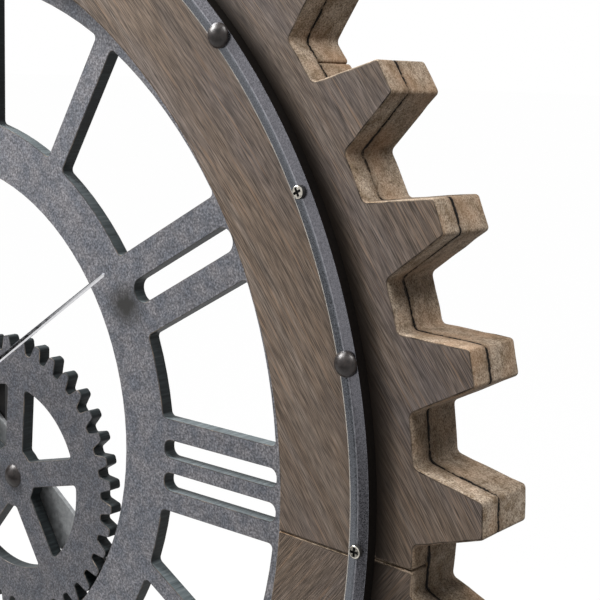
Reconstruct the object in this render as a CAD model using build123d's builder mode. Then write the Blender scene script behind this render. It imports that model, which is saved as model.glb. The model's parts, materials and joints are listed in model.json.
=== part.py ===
"""Wooden gear wall clock.

A toothed ring of two layers of boards, an iron hoop on its face, a cut steel dial with Roman
numerals behind it, two gear plates on a bridge bar, a quartz movement and two hands.
Heights are measured from the wall toward the viewer, which is along -Y. The origin lies on the
hands' axis, half way between the wall and the tops of the studs.
Angles are seen from the front, counted from three o'clock toward twelve.
"""

import os
from math import asin, atan2, cos, degrees, hypot, radians, sin, sqrt

from build123d import *

os.makedirs("parts", exist_ok=True)

# Wood ring
tooth_count = 36
tip_r = 350.0
root_r = 317.5
tooth_root_half = 3.05
tooth_tip_half = 1.29
tooth_phase = 3.2
tooth_overlap = 6.0
wood_inner_r = 249.5
board_count = 4
back_stagger_teeth = 4
wall_gap = 5.0
back_t = 22.0
front_t = 12.0
step_t = 5.0
groove_phase = tooth_phase - 180.0 / tooth_count
back_joint_phase = groove_phase + back_stagger_teeth * 360.0 / tooth_count
board_span = 360.0 / board_count
front_h = wall_gap + back_t
rim_h = front_h + front_t
face_h = rim_h + step_t

# Iron hoop: a rolled angle whose flange lies on the raised face and whose skirt hides the step
hoop_out_r = 298.4
hoop_w = 9.8
hoop_t = 2.0
hoop_crown = 0.9
hoop_ridge = 4.1
skirt_t = 1.8
hoop_gap = 0.2
step_r = hoop_out_r - skirt_t - hoop_gap
hoop_in_r = hoop_out_r - hoop_w
hoop_h = face_h + hoop_t
fix_count = 12
fix_r = hoop_out_r - hoop_w / 2
screw_phase = 29.0
stud_phase = 14.5

# Hoop screws and studs
pan_r = 3.0
pan_h = 2.0
pan_round = 0.8
cross_l = 3.4
cross_w = 1.0
cross_d = 1.1
wood_screw_r = 1.45
wood_screw_l = 14.0
point_l = 3.0
pilot_gap = 0.1
stud_r = 5.6
stud_dome = 3.4
stud_collar = 0.9
stud_nail_r = 1.4
stud_nail_l = 12.0

# Dial plate
dial_t = 7.0
ring_in_r = 135.3
ring_out_r = 162.5
rim_in_r = 233.5
dial_lap = 18.5
dial_gap = 1.0
dial_r = wood_inner_r + dial_lap
dial_h = front_h - dial_t
window_round = 2.5
arm_round = 1.5
slot_two_round = 5.5
slot_three_round = 4.0
numeral_lap = 8.0
dial_screw_count = 8
dial_screw_r = wood_inner_r + dial_lap / 2
dial_screw_phase = 15.0
dial_screw_grip = 10.0
dial_shank_r = 1.75
dial_head_r = 3.6
dial_head_h = 2.0

# Numeral strokes
one_w = 12.0
two_w = 15.0
two_slot = 12.0
three_side_w = 10.5
three_mid_w = 7.5
three_slot = 9.0
thick_w = 12.0
thin_w = 8.0
plain_w = 9.5
narrow_w = 7.5
two_y = (two_w + two_slot) / 2
three_y = three_mid_w / 2 + three_slot + three_side_w / 2

# Gear plates on the bridge bar
large_teeth = 38
small_teeth = 28
large_pitch_r = 74.0
tooth_add = 3.9
large_reach = 56.9
large_bearing = -34.2
mesh_gap = 2.2
large_tip_phase = 56.1
gear_tip_w = 4.4
gear_root_w = 8.2
gear_tip_round = 1.7
gear_root_round = 1.5
large_rim_in_r = 51.0
large_hub_r = 17.0
spoke_count = 5
spoke_w = 14.0
large_spoke_phase = 14.8
small_rim_in_r = 36.0
small_hub_r = 14.0
small_spoke_phase = 55.0
spoke_round = 2.0
gear_bolt_r = 3.0
gear_bolt_gap = 0.2
gear_bolt_l = 15.5
gear_head_r = 6.5
gear_head_h = 3.4
gear_nut_flat = 10.0
gear_nut_h = 5.0
bar_t = 2.5
bar_w = 24.0
bar_inset = 4.5
bar_l = 2 * (ring_out_r - bar_inset)
bar_screw_r = 2.0
bar_screw_at = (ring_in_r + ring_out_r) / 2
bar_screw_side = 7.0
bar_screw_bite = 6.0
bar_head_r = 3.8
bar_head_h = 2.2
bar_h = dial_h - bar_t
small_pitch_r = large_pitch_r * small_teeth / large_teeth
small_bearing = large_bearing + 180.0
small_reach = large_pitch_r + small_pitch_r + mesh_gap - large_reach
large_x = large_reach * cos(radians(large_bearing))
large_z = large_reach * sin(radians(large_bearing))
small_x = small_reach * cos(radians(small_bearing))
small_z = small_reach * sin(radians(small_bearing))

# Quartz movement
case_w = 56.0
case_t = 16.0
case_wall = 1.5
case_round = 4.0
gasket_t = 0.6
gasket_r = 11.0
bushing_r = 4.0
bushing_gap = 0.2
nut_flat = 12.0
nut_t = 2.5
washer_r = 7.5
washer_t = 1.0
bushing_over = 1.5
pipe_r = 2.5
arbor_r = 1.6
pivot_r = 0.8
fine_r = 0.3
run_gap = 0.06
seat_gap = 0.02
cover_gap = 0.2
bay_wall_z = -10.5
bay_wall_t = 1.0
post_r = 2.2
post_x = 23.8
post_top_z = 23.8
post_low_z = -7.8
cover_shank_r = 0.75
cover_head_r = 1.5
cover_head_h = 0.7
cover_bite = 4.5
cover_round = 2.0
case_front = bar_h - gasket_t
case_back = case_front - case_t
wall_in = case_front - case_wall
cover_in = case_back + case_wall
pivot_deep = 0.8
nut_h = front_h + washer_t
bushing_top = nut_h + nut_t + bushing_over

# Wheel train: teeth and tooth module in millimetres
minute_pinion_n = 12
setting_wheel_n = 36
setting_pinion_n = 10
hour_wheel_n = 40
hour_module = 0.4
minute_module = hour_module * (setting_pinion_n + hour_wheel_n) / (minute_pinion_n + setting_wheel_n)
setting_dist = hour_module * (setting_pinion_n + hour_wheel_n) / 2
setting_bearing = 150.0
leaf_n = 6
centre_n = 72
centre_module = 0.24
third_n = 90
third_module = 0.18
fourth_n = 60
fourth_module = 0.2
third_bearing = 35.0
fourth_bearing = 100.0
rotor_bearing = 165.0
third_dist = centre_module * (centre_n + leaf_n) / 2
fourth_dist = third_module * (third_n + leaf_n) / 2
rotor_dist = fourth_module * (fourth_n + leaf_n) / 2
setting_x = setting_dist * cos(radians(setting_bearing))
setting_z = setting_dist * sin(radians(setting_bearing))
third_x = third_dist * cos(radians(third_bearing))
third_z = third_dist * sin(radians(third_bearing))
fourth_x = third_x + fourth_dist * cos(radians(fourth_bearing))
fourth_z = third_z + fourth_dist * sin(radians(fourth_bearing))
rotor_x = fourth_x + rotor_dist * cos(radians(rotor_bearing))
rotor_z = fourth_z + rotor_dist * sin(radians(rotor_bearing))
third_h = 7.0
centre_h = 9.0
shoulder_h = 8.0
fourth_h = 8.4
setting_h = 11.5
hour_wheel_h = 13.8
wheel_t = 0.6
fourth_t = 0.5
hour_wheel_t = 1.2
pinion_over = 0.2
clutch_r = 2.6
clutch_back = 0.6
clutch_front = 0.8
magnet_r = 3.0
magnet_h = 4.6
magnet_t = 2.8
stator_h = 5.0
stator_t = 1.0
stator_hole_r = 3.4
stator_ring_r = 5.2
arm_w = 4.0
core_z = 22.0
core_w = 3.0
coil_r = 3.2
coil_bore_r = 1.7
coil_l = 10.4
coil_x = -9.9
left_arm_x = -18.0
board_t = 0.8
board_h = 3.2
board_w = 14.0
board_l = 32.0
board_x = 18.0
board_z = 8.5
board_gap = 0.3
chip_r = 3.0
chip_t = 1.0
knob_r = 6.0
knob_t = 3.0
knob_h = 1.2
knob_skin = 0.3
knob_notch_n = 18
knob_notch_r = 0.6
knob_notch_out = 0.3
cup_r = 8.0
cup_in_r = 7.0
cup_floor_h = 4.6
cup_floor_t = 1.0

# Cell and contacts
cell_r = 7.2
cell_l = 49.0
nub_r = 2.75
nub_l = 1.5
cell_z = -19.0
cell_h = 8.1
contact_t = 0.4
contact_w = 9.0
contact_x = 25.9

# Hands
hour_hand_h = 34.8
hour_hand_l = 104.0
hour_hand_w = 5.2
minute_hand_h = 39.5
minute_hand_l = 161.0
minute_hand_w = 3.8
hand_tip_w = 2.1
hand_point = 0.8
hand_tail = 34.0
hand_t = 1.0
hand_hub_r = 7.5
minute_bearing = 34.8
hour_bearing = 145.4
cap_r = 3.4
cap_t = 3.2
cap_round = 1.5
stud_end_r = 1.4
stud_end_l = 2.4
pipe_over = 0.7
pipe_top = hour_hand_h + hand_t + pipe_over

# Hanger and wall pads
hanger_w = 28.0
hanger_l = 44.0
hanger_t = 1.5
hanger_round = 4.0
hanger_z = (dial_r + dial_gap + root_r) / 2
key_r = 5.0
key_slot_r = 2.6
key_drop = 6.0
key_z = hanger_z - key_drop
key_rise = 13.0
pocket_d = 11.0
pocket_r = 7.0
hanger_screw_z = 17.5
hanger_head_r = 3.2
hanger_head_h = 1.6
hanger_shank_r = 1.6
hanger_grip = 14.0
pad_r = 8.0
pad_count = 4
pad_at_r = hanger_z
pad_phase = 65.0

# Origin half way through the clock's depth
middle_h = (hoop_h + stud_collar + stud_dome) / 2

corner = (Align.MIN, Align.MIN)
on_base = (Align.CENTER, Align.CENTER, Align.MIN)


def at(h, x=0, z=0):
    """Sketch plane parallel to the wall, h in front of it, centred on x and z."""
    return Plane(origin=(x, middle_h - h, z), x_dir=(1, 0, 0), z_dir=(0, -1, 0))


def save(part, name):
    part.label = name
    export_step(part, f"parts/{name}.step")


def ring_outline(inner_r, start):
    """One board of the toothed ring, from the start angle over one board's span."""
    x_root = root_r * cos(radians(tooth_root_half))
    y_root = root_r * sin(radians(tooth_root_half))
    x_tip = tip_r * cos(radians(tooth_tip_half))
    y_tip = tip_r * sin(radians(tooth_tip_half))
    x_low = x_root - tooth_overlap
    Circle(root_r)
    with PolarLocations(0, tooth_count, start_angle=tooth_phase):
        Polygon(
            (x_low, -y_root), (x_root, -y_root), (x_tip, -y_tip),
            (x_tip, y_tip), (x_root, y_root), (x_low, y_root), align=None,
        )
    Circle(inner_r, mode=Mode.SUBTRACT)
    Rectangle(2 * tip_r, 2 * tip_r, rotation=start, align=corner, mode=Mode.INTERSECT)


def stroke(y_in, y_out, width):
    """Bar of a numeral from the inner ring at y_in to the outer ring at y_out."""
    lean = (y_out - y_in) / (rim_in_r - ring_out_r)
    x1 = ring_out_r - numeral_lap
    x2 = rim_in_r + numeral_lap
    y1 = y_in - lean * numeral_lap
    y2 = y_out + lean * numeral_lap
    half = width / 2
    Polygon((x1, y1 - half), (x2, y2 - half), (x2, y2 + half), (x1, y1 + half), align=None)


def vee(left, right):
    """V between its two outer ends: a thick arm and a thin arm meeting at the inner ring."""
    middle = (left + right) / 2
    stroke(middle, left, thick_w)
    stroke(middle, right, thin_w)


def cross(left, right):
    """X between its two sides: a thick arm and a thin arm that cross half way."""
    stroke(right, left, thick_w)
    stroke(left, right, thin_w)


def gear_teeth(teeth, pitch_r, phase):
    """Disc with straight sided teeth whose corners are rounded."""
    foot = gear_root_w / 2
    head = gear_tip_w / 2
    root = sqrt((pitch_r - tooth_add) ** 2 - foot**2)
    tip = pitch_r + tooth_add
    low = root - 2.0
    Circle(pitch_r - tooth_add)
    with PolarLocations(0, teeth, start_angle=phase):
        Polygon(
            (low, -foot), (root, -foot), (tip, -head), (tip, head), (root, foot), (low, foot), align=None
        )


def fine_teeth(teeth, module, phase):
    """Small train wheel: slender teeth that leave running backlash."""
    pitch = module * teeth / 2
    foot = 0.6 * module
    head = 0.3 * module
    root = sqrt((pitch - 1.05 * module) ** 2 - foot**2)
    tip = pitch + 0.75 * module
    low = root - 0.3 * module
    Circle(pitch - 1.05 * module)
    with PolarLocations(0, teeth, start_angle=phase):
        Polygon(
            (low, -foot), (root, -foot), (tip, -head), (tip, head), (root, foot), (low, foot), align=None
        )


def mesh_phase(bearing, phase, teeth, other_teeth):
    """Tooth angle of the second wheel that puts its gap on the first wheel's tooth."""
    lead = phase - bearing
    return bearing + 180.0 - lead * teeth / other_teeth + 180.0 / other_teeth


# Toothed ring, front layer: boards with a step turned down for the teeth
for number in range(board_count):
    start = groove_phase + number * board_span
    with BuildPart() as front_board:
        with BuildSketch(at(front_h)):
            ring_outline(wood_inner_r, start)
        extrude(amount=front_t)
        with BuildSketch(at(rim_h)):
            Circle(step_r)
            Circle(wood_inner_r, mode=Mode.SUBTRACT)
            Rectangle(2 * tip_r, 2 * tip_r, rotation=start, align=corner, mode=Mode.INTERSECT)
        extrude(amount=step_t)
        with BuildSketch(at(face_h)):
            with PolarLocations(fix_r, fix_count, start_angle=screw_phase):
                Circle(wood_screw_r + pilot_gap)
            with PolarLocations(fix_r, fix_count, start_angle=stud_phase):
                Circle(stud_nail_r + pilot_gap)
        extrude(amount=-(wood_screw_l - hoop_t + pilot_gap), mode=Mode.SUBTRACT)
        with BuildSketch(at(front_h)):
            with PolarLocations(dial_screw_r, dial_screw_count, start_angle=dial_screw_phase):
                Circle(dial_shank_r + pilot_gap)
        extrude(amount=dial_screw_grip + pilot_gap, mode=Mode.SUBTRACT)
    save(front_board.part, f"front_board_{number + 1}")

# Toothed ring, back layer: boards with their joints between those of the front layer
for number in range(board_count):
    start = back_joint_phase + number * board_span
    with BuildPart() as back_board:
        with BuildSketch(at(wall_gap)):
            ring_outline(dial_r + dial_gap, start)
        extrude(amount=back_t)
        with BuildSketch(at(wall_gap)):
            with Locations((0, key_z)):
                Circle(pocket_r)
            with Locations((0, key_z + key_rise / 2)):
                Rectangle(2 * pocket_r, key_rise)
            with Locations((0, key_z + key_rise)):
                Circle(pocket_r)
        extrude(amount=pocket_d, mode=Mode.SUBTRACT)
        with BuildSketch(at(wall_gap)):
            with Locations((0, hanger_z - hanger_screw_z), (0, hanger_z + hanger_screw_z)):
                Circle(hanger_shank_r + pilot_gap)
        extrude(amount=hanger_grip + pilot_gap, mode=Mode.SUBTRACT)
    save(back_board.part, f"back_board_{number + 1}")

# Iron hoop
with BuildPart() as iron_hoop:
    with BuildSketch(Plane.XY):
        with BuildLine():
            Polyline(
                (hoop_out_r, middle_h - hoop_h + hoop_crown), (hoop_out_r, middle_h - rim_h - hoop_gap),
                (hoop_out_r - skirt_t, middle_h - rim_h - hoop_gap),
                (hoop_out_r - skirt_t, middle_h - face_h), (hoop_in_r, middle_h - face_h),
                (hoop_in_r, middle_h - hoop_h + hoop_crown),
                (hoop_in_r + hoop_ridge, middle_h - hoop_h), close=True,
            )
        make_face()
    revolve(axis=Axis.Y)
    with BuildSketch(at(face_h)):
        with PolarLocations(fix_r, fix_count, start_angle=screw_phase):
            Circle(wood_screw_r + pilot_gap)
        with PolarLocations(fix_r, fix_count, start_angle=stud_phase):
            Circle(stud_nail_r + pilot_gap)
    extrude(amount=2 * hoop_t, mode=Mode.SUBTRACT)
save(iron_hoop.part, "iron_hoop")

# Pan-head screws of the hoop
with BuildPart() as hoop_screws:
    with BuildSketch(at(hoop_h)):
        with PolarLocations(fix_r, fix_count, start_angle=screw_phase):
            Circle(pan_r)
    extrude(amount=pan_h)
    fillet(hoop_screws.faces().filter_by(Axis.Y).group_by(Axis.Y)[0].edges(), pan_round)
    with BuildSketch(at(hoop_h)):
        with PolarLocations(fix_r, fix_count, start_angle=screw_phase):
            Circle(wood_screw_r)
    extrude(amount=-(wood_screw_l - point_l))
    with BuildSketch(at(hoop_h - wood_screw_l + point_l)):
        with PolarLocations(fix_r, fix_count, start_angle=screw_phase):
            Circle(wood_screw_r)
    extrude(amount=-point_l, taper=degrees(atan2(0.8 * wood_screw_r, point_l)))
    with BuildSketch(at(hoop_h + pan_h)):
        with PolarLocations(fix_r, fix_count, start_angle=screw_phase):
            Rectangle(cross_l, cross_w)
            Rectangle(cross_w, cross_l)
    extrude(amount=-cross_d, mode=Mode.SUBTRACT)
save(hoop_screws.part, "hoop_screws")

# Domed studs of the hoop
stud_ball_r = (stud_r**2 + stud_dome**2) / (2 * stud_dome)
stud_cap_angle = degrees(asin((stud_ball_r - stud_dome) / stud_ball_r))
with BuildPart() as hoop_studs:
    with BuildSketch(at(hoop_h)):
        with PolarLocations(fix_r, fix_count, start_angle=stud_phase):
            Circle(stud_r)
    extrude(amount=stud_collar)
    with Locations(at(hoop_h + stud_collar)):
        with PolarLocations(fix_r, fix_count, start_angle=stud_phase):
            Sphere(stud_ball_r, arc_size1=stud_cap_angle, arc_size2=90, align=on_base)
    with BuildSketch(at(hoop_h)):
        with PolarLocations(fix_r, fix_count, start_angle=stud_phase):
            Circle(stud_nail_r)
    extrude(amount=-stud_nail_l)
save(hoop_studs.part, "hoop_studs")

# Dial plate with its numerals cut as bars between two rings
# Each bar is placed by its distance from the numeral's centre line, positive to the left as read
with BuildPart() as dial_plate:
    with BuildSketch(at(dial_h)) as dial_sketch:
        Circle(dial_r)
        Circle(rim_in_r, mode=Mode.SUBTRACT)
        Circle(ring_out_r)
        Circle(ring_in_r, mode=Mode.SUBTRACT)
        with Locations(Location((0, 0, 0), (0, 0, 60))):
            stroke(0, 0, one_w)
        with Locations(Location((0, 0, 0), (0, 0, 30))):
            stroke(two_y, two_y, two_w)
            stroke(-two_y, -two_y, two_w)
        with Locations(Location((0, 0, 0), (0, 0, 0))):
            stroke(three_y, three_y, three_side_w)
            stroke(0, 0, three_mid_w)
            stroke(-three_y, -three_y, three_side_w)
        with Locations(Location((0, 0, 0), (0, 0, -30))):
            stroke(26, 26, plain_w)
            vee(7, -25)
        with Locations(Location((0, 0, 0), (0, 0, -60))):
            vee(19, -19)
        with Locations(Location((0, 0, 0), (0, 0, -90))):
            vee(26, -6)
            stroke(-24, -24, plain_w)
        with Locations(Location((0, 0, 0), (0, 0, -120))):
            vee(32, 4)
            stroke(-12, -12, narrow_w)
            stroke(-27, -27, narrow_w)
        with Locations(Location((0, 0, 0), (0, 0, -150))):
            vee(33, 7)
            stroke(-6, -6, narrow_w)
            stroke(-20, -20, narrow_w)
            stroke(-34, -34, narrow_w)
        with Locations(Location((0, 0, 0), (0, 0, 180))):
            stroke(29, 29, plain_w)
            cross(9, -23)
        with Locations(Location((0, 0, 0), (0, 0, 150))):
            cross(18, -18)
        with Locations(Location((0, 0, 0), (0, 0, 120))):
            cross(24, -8)
            stroke(-28, -28, plain_w)
        with Locations(Location((0, 0, 0), (0, 0, 90))):
            cross(34, 6)
            stroke(-14, -14, narrow_w)
            stroke(-30, -30, narrow_w)
        ends = [
            v for v in dial_sketch.vertices()
            if abs(hypot(v.X, v.Y) - ring_out_r) < 0.3 or abs(hypot(v.X, v.Y) - rim_in_r) < 0.3
        ]
        slot_two = [
            v for v in ends
            if v.X > 0 and abs(v.Y * cos(radians(30)) - v.X * sin(radians(30))) < two_y
        ]
        slot_three = [v for v in ends if v.X > 0 and abs(v.Y) < three_y]
        windows = [v for v in ends if v not in slot_two and v not in slot_three]
        arms = [
            v for v in dial_sketch.vertices()
            if ring_out_r + 1.0 < hypot(v.X, v.Y) < rim_in_r - 1.0
        ]
        fillet(slot_two, slot_two_round)
        fillet(slot_three, slot_three_round)
        fillet(windows, window_round)
        fillet(arms, arm_round)
    extrude(amount=dial_t)
    with BuildSketch(at(dial_h)):
        with PolarLocations(dial_screw_r, dial_screw_count, start_angle=dial_screw_phase):
            Circle(dial_shank_r + pilot_gap)
    extrude(amount=dial_t, mode=Mode.SUBTRACT)
    with BuildSketch(at(dial_h)):
        with Locations(Location((0, 0, 0), (0, 0, large_bearing))):
            with GridLocations(2 * bar_screw_at, 2 * bar_screw_side, 2, 2):
                Circle(bar_screw_r + pilot_gap)
    extrude(amount=bar_screw_bite + pilot_gap, mode=Mode.SUBTRACT)
save(dial_plate.part, "dial_plate")

# Screws that hold the dial to the back of the front boards
with BuildPart() as dial_screws:
    with BuildSketch(at(dial_h)):
        with PolarLocations(dial_screw_r, dial_screw_count, start_angle=dial_screw_phase):
            Circle(dial_head_r)
    extrude(amount=-dial_head_h)
    with BuildSketch(at(dial_h)):
        with PolarLocations(dial_screw_r, dial_screw_count, start_angle=dial_screw_phase):
            Circle(dial_shank_r)
    extrude(amount=dial_t + dial_screw_grip)
    with BuildSketch(at(dial_h - dial_head_h)):
        with PolarLocations(dial_screw_r, dial_screw_count, start_angle=dial_screw_phase):
            Rectangle(cross_l, cross_w)
            Rectangle(cross_w, cross_l)
    extrude(amount=cross_d, mode=Mode.SUBTRACT)
save(dial_screws.part, "dial_screws")

# Large gear plate, below and right of the centre
with BuildPart() as large_gear:
    with BuildSketch(at(dial_h, large_x, large_z)) as large_sketch:
        gear_teeth(large_teeth, large_pitch_r, large_tip_phase)
        tips = [v for v in large_sketch.vertices() if hypot(v.X, v.Y) > large_pitch_r + 1.0]
        feet = [v for v in large_sketch.vertices() if hypot(v.X, v.Y) < large_pitch_r - 1.0]
        fillet(feet, gear_root_round)
        fillet(tips, gear_tip_round)
    extrude(amount=dial_t)
    with BuildSketch(at(dial_h, large_x, large_z)) as large_windows:
        Circle(large_rim_in_r)
        Circle(large_hub_r, mode=Mode.SUBTRACT)
        with PolarLocations(large_rim_in_r / 2, spoke_count, start_angle=large_spoke_phase):
            Rectangle(large_rim_in_r + spoke_w, spoke_w, mode=Mode.SUBTRACT)
        fillet(large_windows.vertices(), spoke_round)
        Circle(gear_bolt_r + gear_bolt_gap)
    extrude(amount=dial_t, mode=Mode.SUBTRACT)
    with BuildSketch(at(dial_h)):
        Circle(bushing_r + bushing_gap)
    extrude(amount=dial_t, mode=Mode.SUBTRACT)
save(large_gear.part, "large_gear")

# Small gear plate, above and left of the centre, in mesh with the large one
small_tip_phase = mesh_phase(small_bearing, large_tip_phase, large_teeth, small_teeth)
with BuildPart() as small_gear:
    with BuildSketch(at(dial_h, small_x, small_z)) as small_sketch:
        gear_teeth(small_teeth, small_pitch_r, small_tip_phase)
        tips = [v for v in small_sketch.vertices() if hypot(v.X, v.Y) > small_pitch_r + 1.0]
        feet = [v for v in small_sketch.vertices() if hypot(v.X, v.Y) < small_pitch_r - 1.0]
        fillet(feet, gear_root_round)
        fillet(tips, gear_tip_round)
    extrude(amount=dial_t)
    with BuildSketch(at(dial_h, small_x, small_z)) as small_windows:
        Circle(small_rim_in_r)
        Circle(small_hub_r, mode=Mode.SUBTRACT)
        with PolarLocations(small_rim_in_r / 2, spoke_count, start_angle=small_spoke_phase):
            Rectangle(small_rim_in_r + spoke_w, spoke_w, mode=Mode.SUBTRACT)
        fillet(small_windows.vertices(), spoke_round)
        Circle(gear_bolt_r + gear_bolt_gap)
    extrude(amount=dial_t, mode=Mode.SUBTRACT)
save(small_gear.part, "small_gear")

# Bolts and nuts of the two gear plates
head_ball_r = (gear_head_r**2 + gear_head_h**2) / (2 * gear_head_h)
head_cap_angle = degrees(asin((head_ball_r - gear_head_h) / head_ball_r))
with BuildPart() as gear_bolts:
    with Locations(at(front_h)):
        with Locations((large_x, large_z), (small_x, small_z)):
            Sphere(head_ball_r, arc_size1=head_cap_angle, arc_size2=90, align=on_base)
    with BuildSketch(at(front_h)):
        with Locations((large_x, large_z), (small_x, small_z)):
            Circle(gear_bolt_r)
    extrude(amount=-gear_bolt_l)
save(gear_bolts.part, "gear_bolts")

with BuildPart() as gear_nuts:
    with BuildSketch(at(bar_h)):
        with Locations((large_x, large_z), (small_x, small_z)):
            RegularPolygon(gear_nut_flat / 2, 6, major_radius=False)
            Circle(gear_bolt_r + run_gap, mode=Mode.SUBTRACT)
    extrude(amount=-gear_nut_h)
save(gear_nuts.part, "gear_nuts")

# Bridge bar across the dial's inner ring, behind the gear plates
with BuildPart() as bridge_bar:
    with BuildSketch(at(bar_h)):
        with Locations(Location((0, 0, 0), (0, 0, large_bearing))):
            SlotOverall(bar_l, bar_w)
            with Locations((large_reach, 0), (-small_reach, 0)):
                Circle(gear_bolt_r + gear_bolt_gap, mode=Mode.SUBTRACT)
            with GridLocations(2 * bar_screw_at, 2 * bar_screw_side, 2, 2):
                Circle(bar_screw_r + gear_bolt_gap, mode=Mode.SUBTRACT)
        Circle(bushing_r + bushing_gap, mode=Mode.SUBTRACT)
    extrude(amount=bar_t)
save(bridge_bar.part, "bridge_bar")

with BuildPart() as bridge_screws:
    with BuildSketch(at(bar_h)):
        with Locations(Location((0, 0, 0), (0, 0, large_bearing))):
            with GridLocations(2 * bar_screw_at, 2 * bar_screw_side, 2, 2):
                Circle(bar_head_r)
    extrude(amount=-bar_head_h)
    with BuildSketch(at(bar_h)):
        with Locations(Location((0, 0, 0), (0, 0, large_bearing))):
            with GridLocations(2 * bar_screw_at, 2 * bar_screw_side, 2, 2):
                Circle(bar_screw_r)
    extrude(amount=bar_t + bar_screw_bite)
    with BuildSketch(at(bar_h - bar_head_h)):
        with Locations(Location((0, 0, 0), (0, 0, large_bearing))):
            with GridLocations(2 * bar_screw_at, 2 * bar_screw_side, 2, 2):
                Rectangle(cross_l, cross_w)
                Rectangle(cross_w, cross_l)
    extrude(amount=cross_d, mode=Mode.SUBTRACT)
save(bridge_screws.part, "bridge_screws")

# Movement case with its threaded bushing, cover posts and cell bay
with BuildPart() as movement_case:
    with BuildSketch(at(case_back)):
        RectangleRounded(case_w, case_w, case_round)
    extrude(amount=case_t)
    with BuildSketch(at(case_back)):
        RectangleRounded(case_w - 2 * case_wall, case_w - 2 * case_wall, case_round - case_wall)
    extrude(amount=case_t - case_wall, mode=Mode.SUBTRACT)
    with BuildSketch(at(cover_in)):
        with Locations((0, bay_wall_z - bay_wall_t / 2)):
            Rectangle(case_w - case_wall, bay_wall_t)
        with Locations(
            (-post_x, post_top_z), (post_x, post_top_z), (-post_x, post_low_z), (post_x, post_low_z)
        ):
            Circle(post_r)
    extrude(amount=wall_in - cover_in)
    with BuildSketch(at(case_front)):
        Circle(bushing_r)
    extrude(amount=bushing_top - case_front)
    with BuildSketch(at(wall_in)):
        Circle(pipe_r + run_gap)
    extrude(amount=bushing_top - wall_in, mode=Mode.SUBTRACT)
    with BuildSketch(at(wall_in)):
        with Locations((third_x, third_z), (fourth_x, fourth_z), (rotor_x, rotor_z)):
            Circle(fine_r + run_gap)
        with Locations((setting_x, setting_z)):
            Circle(pivot_r + run_gap)
    extrude(amount=pivot_deep + pilot_gap, mode=Mode.SUBTRACT)
    with BuildSketch(at(cover_in)):
        with Locations(
            (-post_x, post_top_z), (post_x, post_top_z), (-post_x, post_low_z), (post_x, post_low_z)
        ):
            Circle(cover_shank_r + seat_gap)
    extrude(amount=cover_bite + pilot_gap, mode=Mode.SUBTRACT)
save(movement_case.part, "movement_case")

# Rear cover of the movement, with a cup for the setting knob
cover_low_z = bay_wall_z - bay_wall_t + cover_gap
cover_top_z = case_w / 2 - case_wall - cover_gap
with BuildPart() as rear_cover:
    with BuildSketch(at(case_back)):
        with Locations((0, (cover_top_z + cover_low_z) / 2)):
            RectangleRounded(case_w - 2 * case_wall - 2 * cover_gap, cover_top_z - cover_low_z, cover_round)
    extrude(amount=case_wall)
    with BuildSketch(at(case_back)):
        with Locations((setting_x, setting_z)):
            Circle(cup_r)
    extrude(amount=cup_floor_h + cup_floor_t - case_back)
    with BuildSketch(at(case_back)):
        with Locations((setting_x, setting_z)):
            Circle(cup_in_r)
    extrude(amount=cup_floor_h - case_back, mode=Mode.SUBTRACT)
    with BuildSketch(at(case_back)):
        with Locations((setting_x, setting_z)):
            Circle(pivot_r + run_gap)
    extrude(amount=case_t / 2, mode=Mode.SUBTRACT)
    with BuildSketch(at(cover_in)):
        with Locations((third_x, third_z), (fourth_x, fourth_z), (rotor_x, rotor_z)):
            Circle(fine_r + run_gap)
        Circle(pivot_r + run_gap)
    extrude(amount=-pivot_deep - pilot_gap, mode=Mode.SUBTRACT)
    with BuildSketch(at(case_back)):
        with Locations(
            (-post_x, post_top_z), (post_x, post_top_z), (-post_x, post_low_z), (post_x, post_low_z)
        ):
            Circle(cover_shank_r + pilot_gap)
    extrude(amount=case_wall, mode=Mode.SUBTRACT)
save(rear_cover.part, "rear_cover")

with BuildPart() as cover_screws:
    with BuildSketch(at(case_back)):
        with Locations(
            (-post_x, post_top_z), (post_x, post_top_z), (-post_x, post_low_z), (post_x, post_low_z)
        ):
            Circle(cover_head_r)
    extrude(amount=-cover_head_h)
    with BuildSketch(at(case_back)):
        with Locations(
            (-post_x, post_top_z), (post_x, post_top_z), (-post_x, post_low_z), (post_x, post_low_z)
        ):
            Circle(cover_shank_r)
    extrude(amount=case_wall + cover_bite)
save(cover_screws.part, "cover_screws")

# Gasket, washer and nut that clamp the movement to the bar and the large gear
with BuildPart() as gasket:
    with BuildSketch(at(case_front)):
        Circle(gasket_r)
        Circle(bushing_r + pilot_gap, mode=Mode.SUBTRACT)
    extrude(amount=gasket_t)
save(gasket.part, "gasket")

with BuildPart() as washer:
    with BuildSketch(at(front_h)):
        Circle(washer_r)
        Circle(bushing_r + pilot_gap, mode=Mode.SUBTRACT)
    extrude(amount=washer_t)
save(washer.part, "washer")

with BuildPart() as hex_nut:
    with BuildSketch(at(nut_h)):
        RegularPolygon(nut_flat / 2, 6, major_radius=False)
        Circle(bushing_r + run_gap, mode=Mode.SUBTRACT)
    extrude(amount=nut_t)
save(hex_nut.part, "hex_nut")

# Minute arbor with its pinion
with BuildPart() as minute_arbor:
    with BuildSketch(at(cover_in - pivot_deep)):
        Circle(pivot_r)
    extrude(amount=shoulder_h - cover_in + pivot_deep)
    with BuildSketch(at(shoulder_h)):
        Circle(arbor_r)
    extrude(amount=minute_hand_h - shoulder_h)
    with BuildSketch(at(minute_hand_h)):
        Circle(stud_end_r)
    extrude(amount=hand_t + stud_end_l)
    with BuildSketch(at(setting_h - pinion_over)):
        fine_teeth(minute_pinion_n, minute_module, 0)
    extrude(amount=hour_wheel_t + 2 * pinion_over)
save(minute_arbor.part, "minute_arbor")

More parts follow.
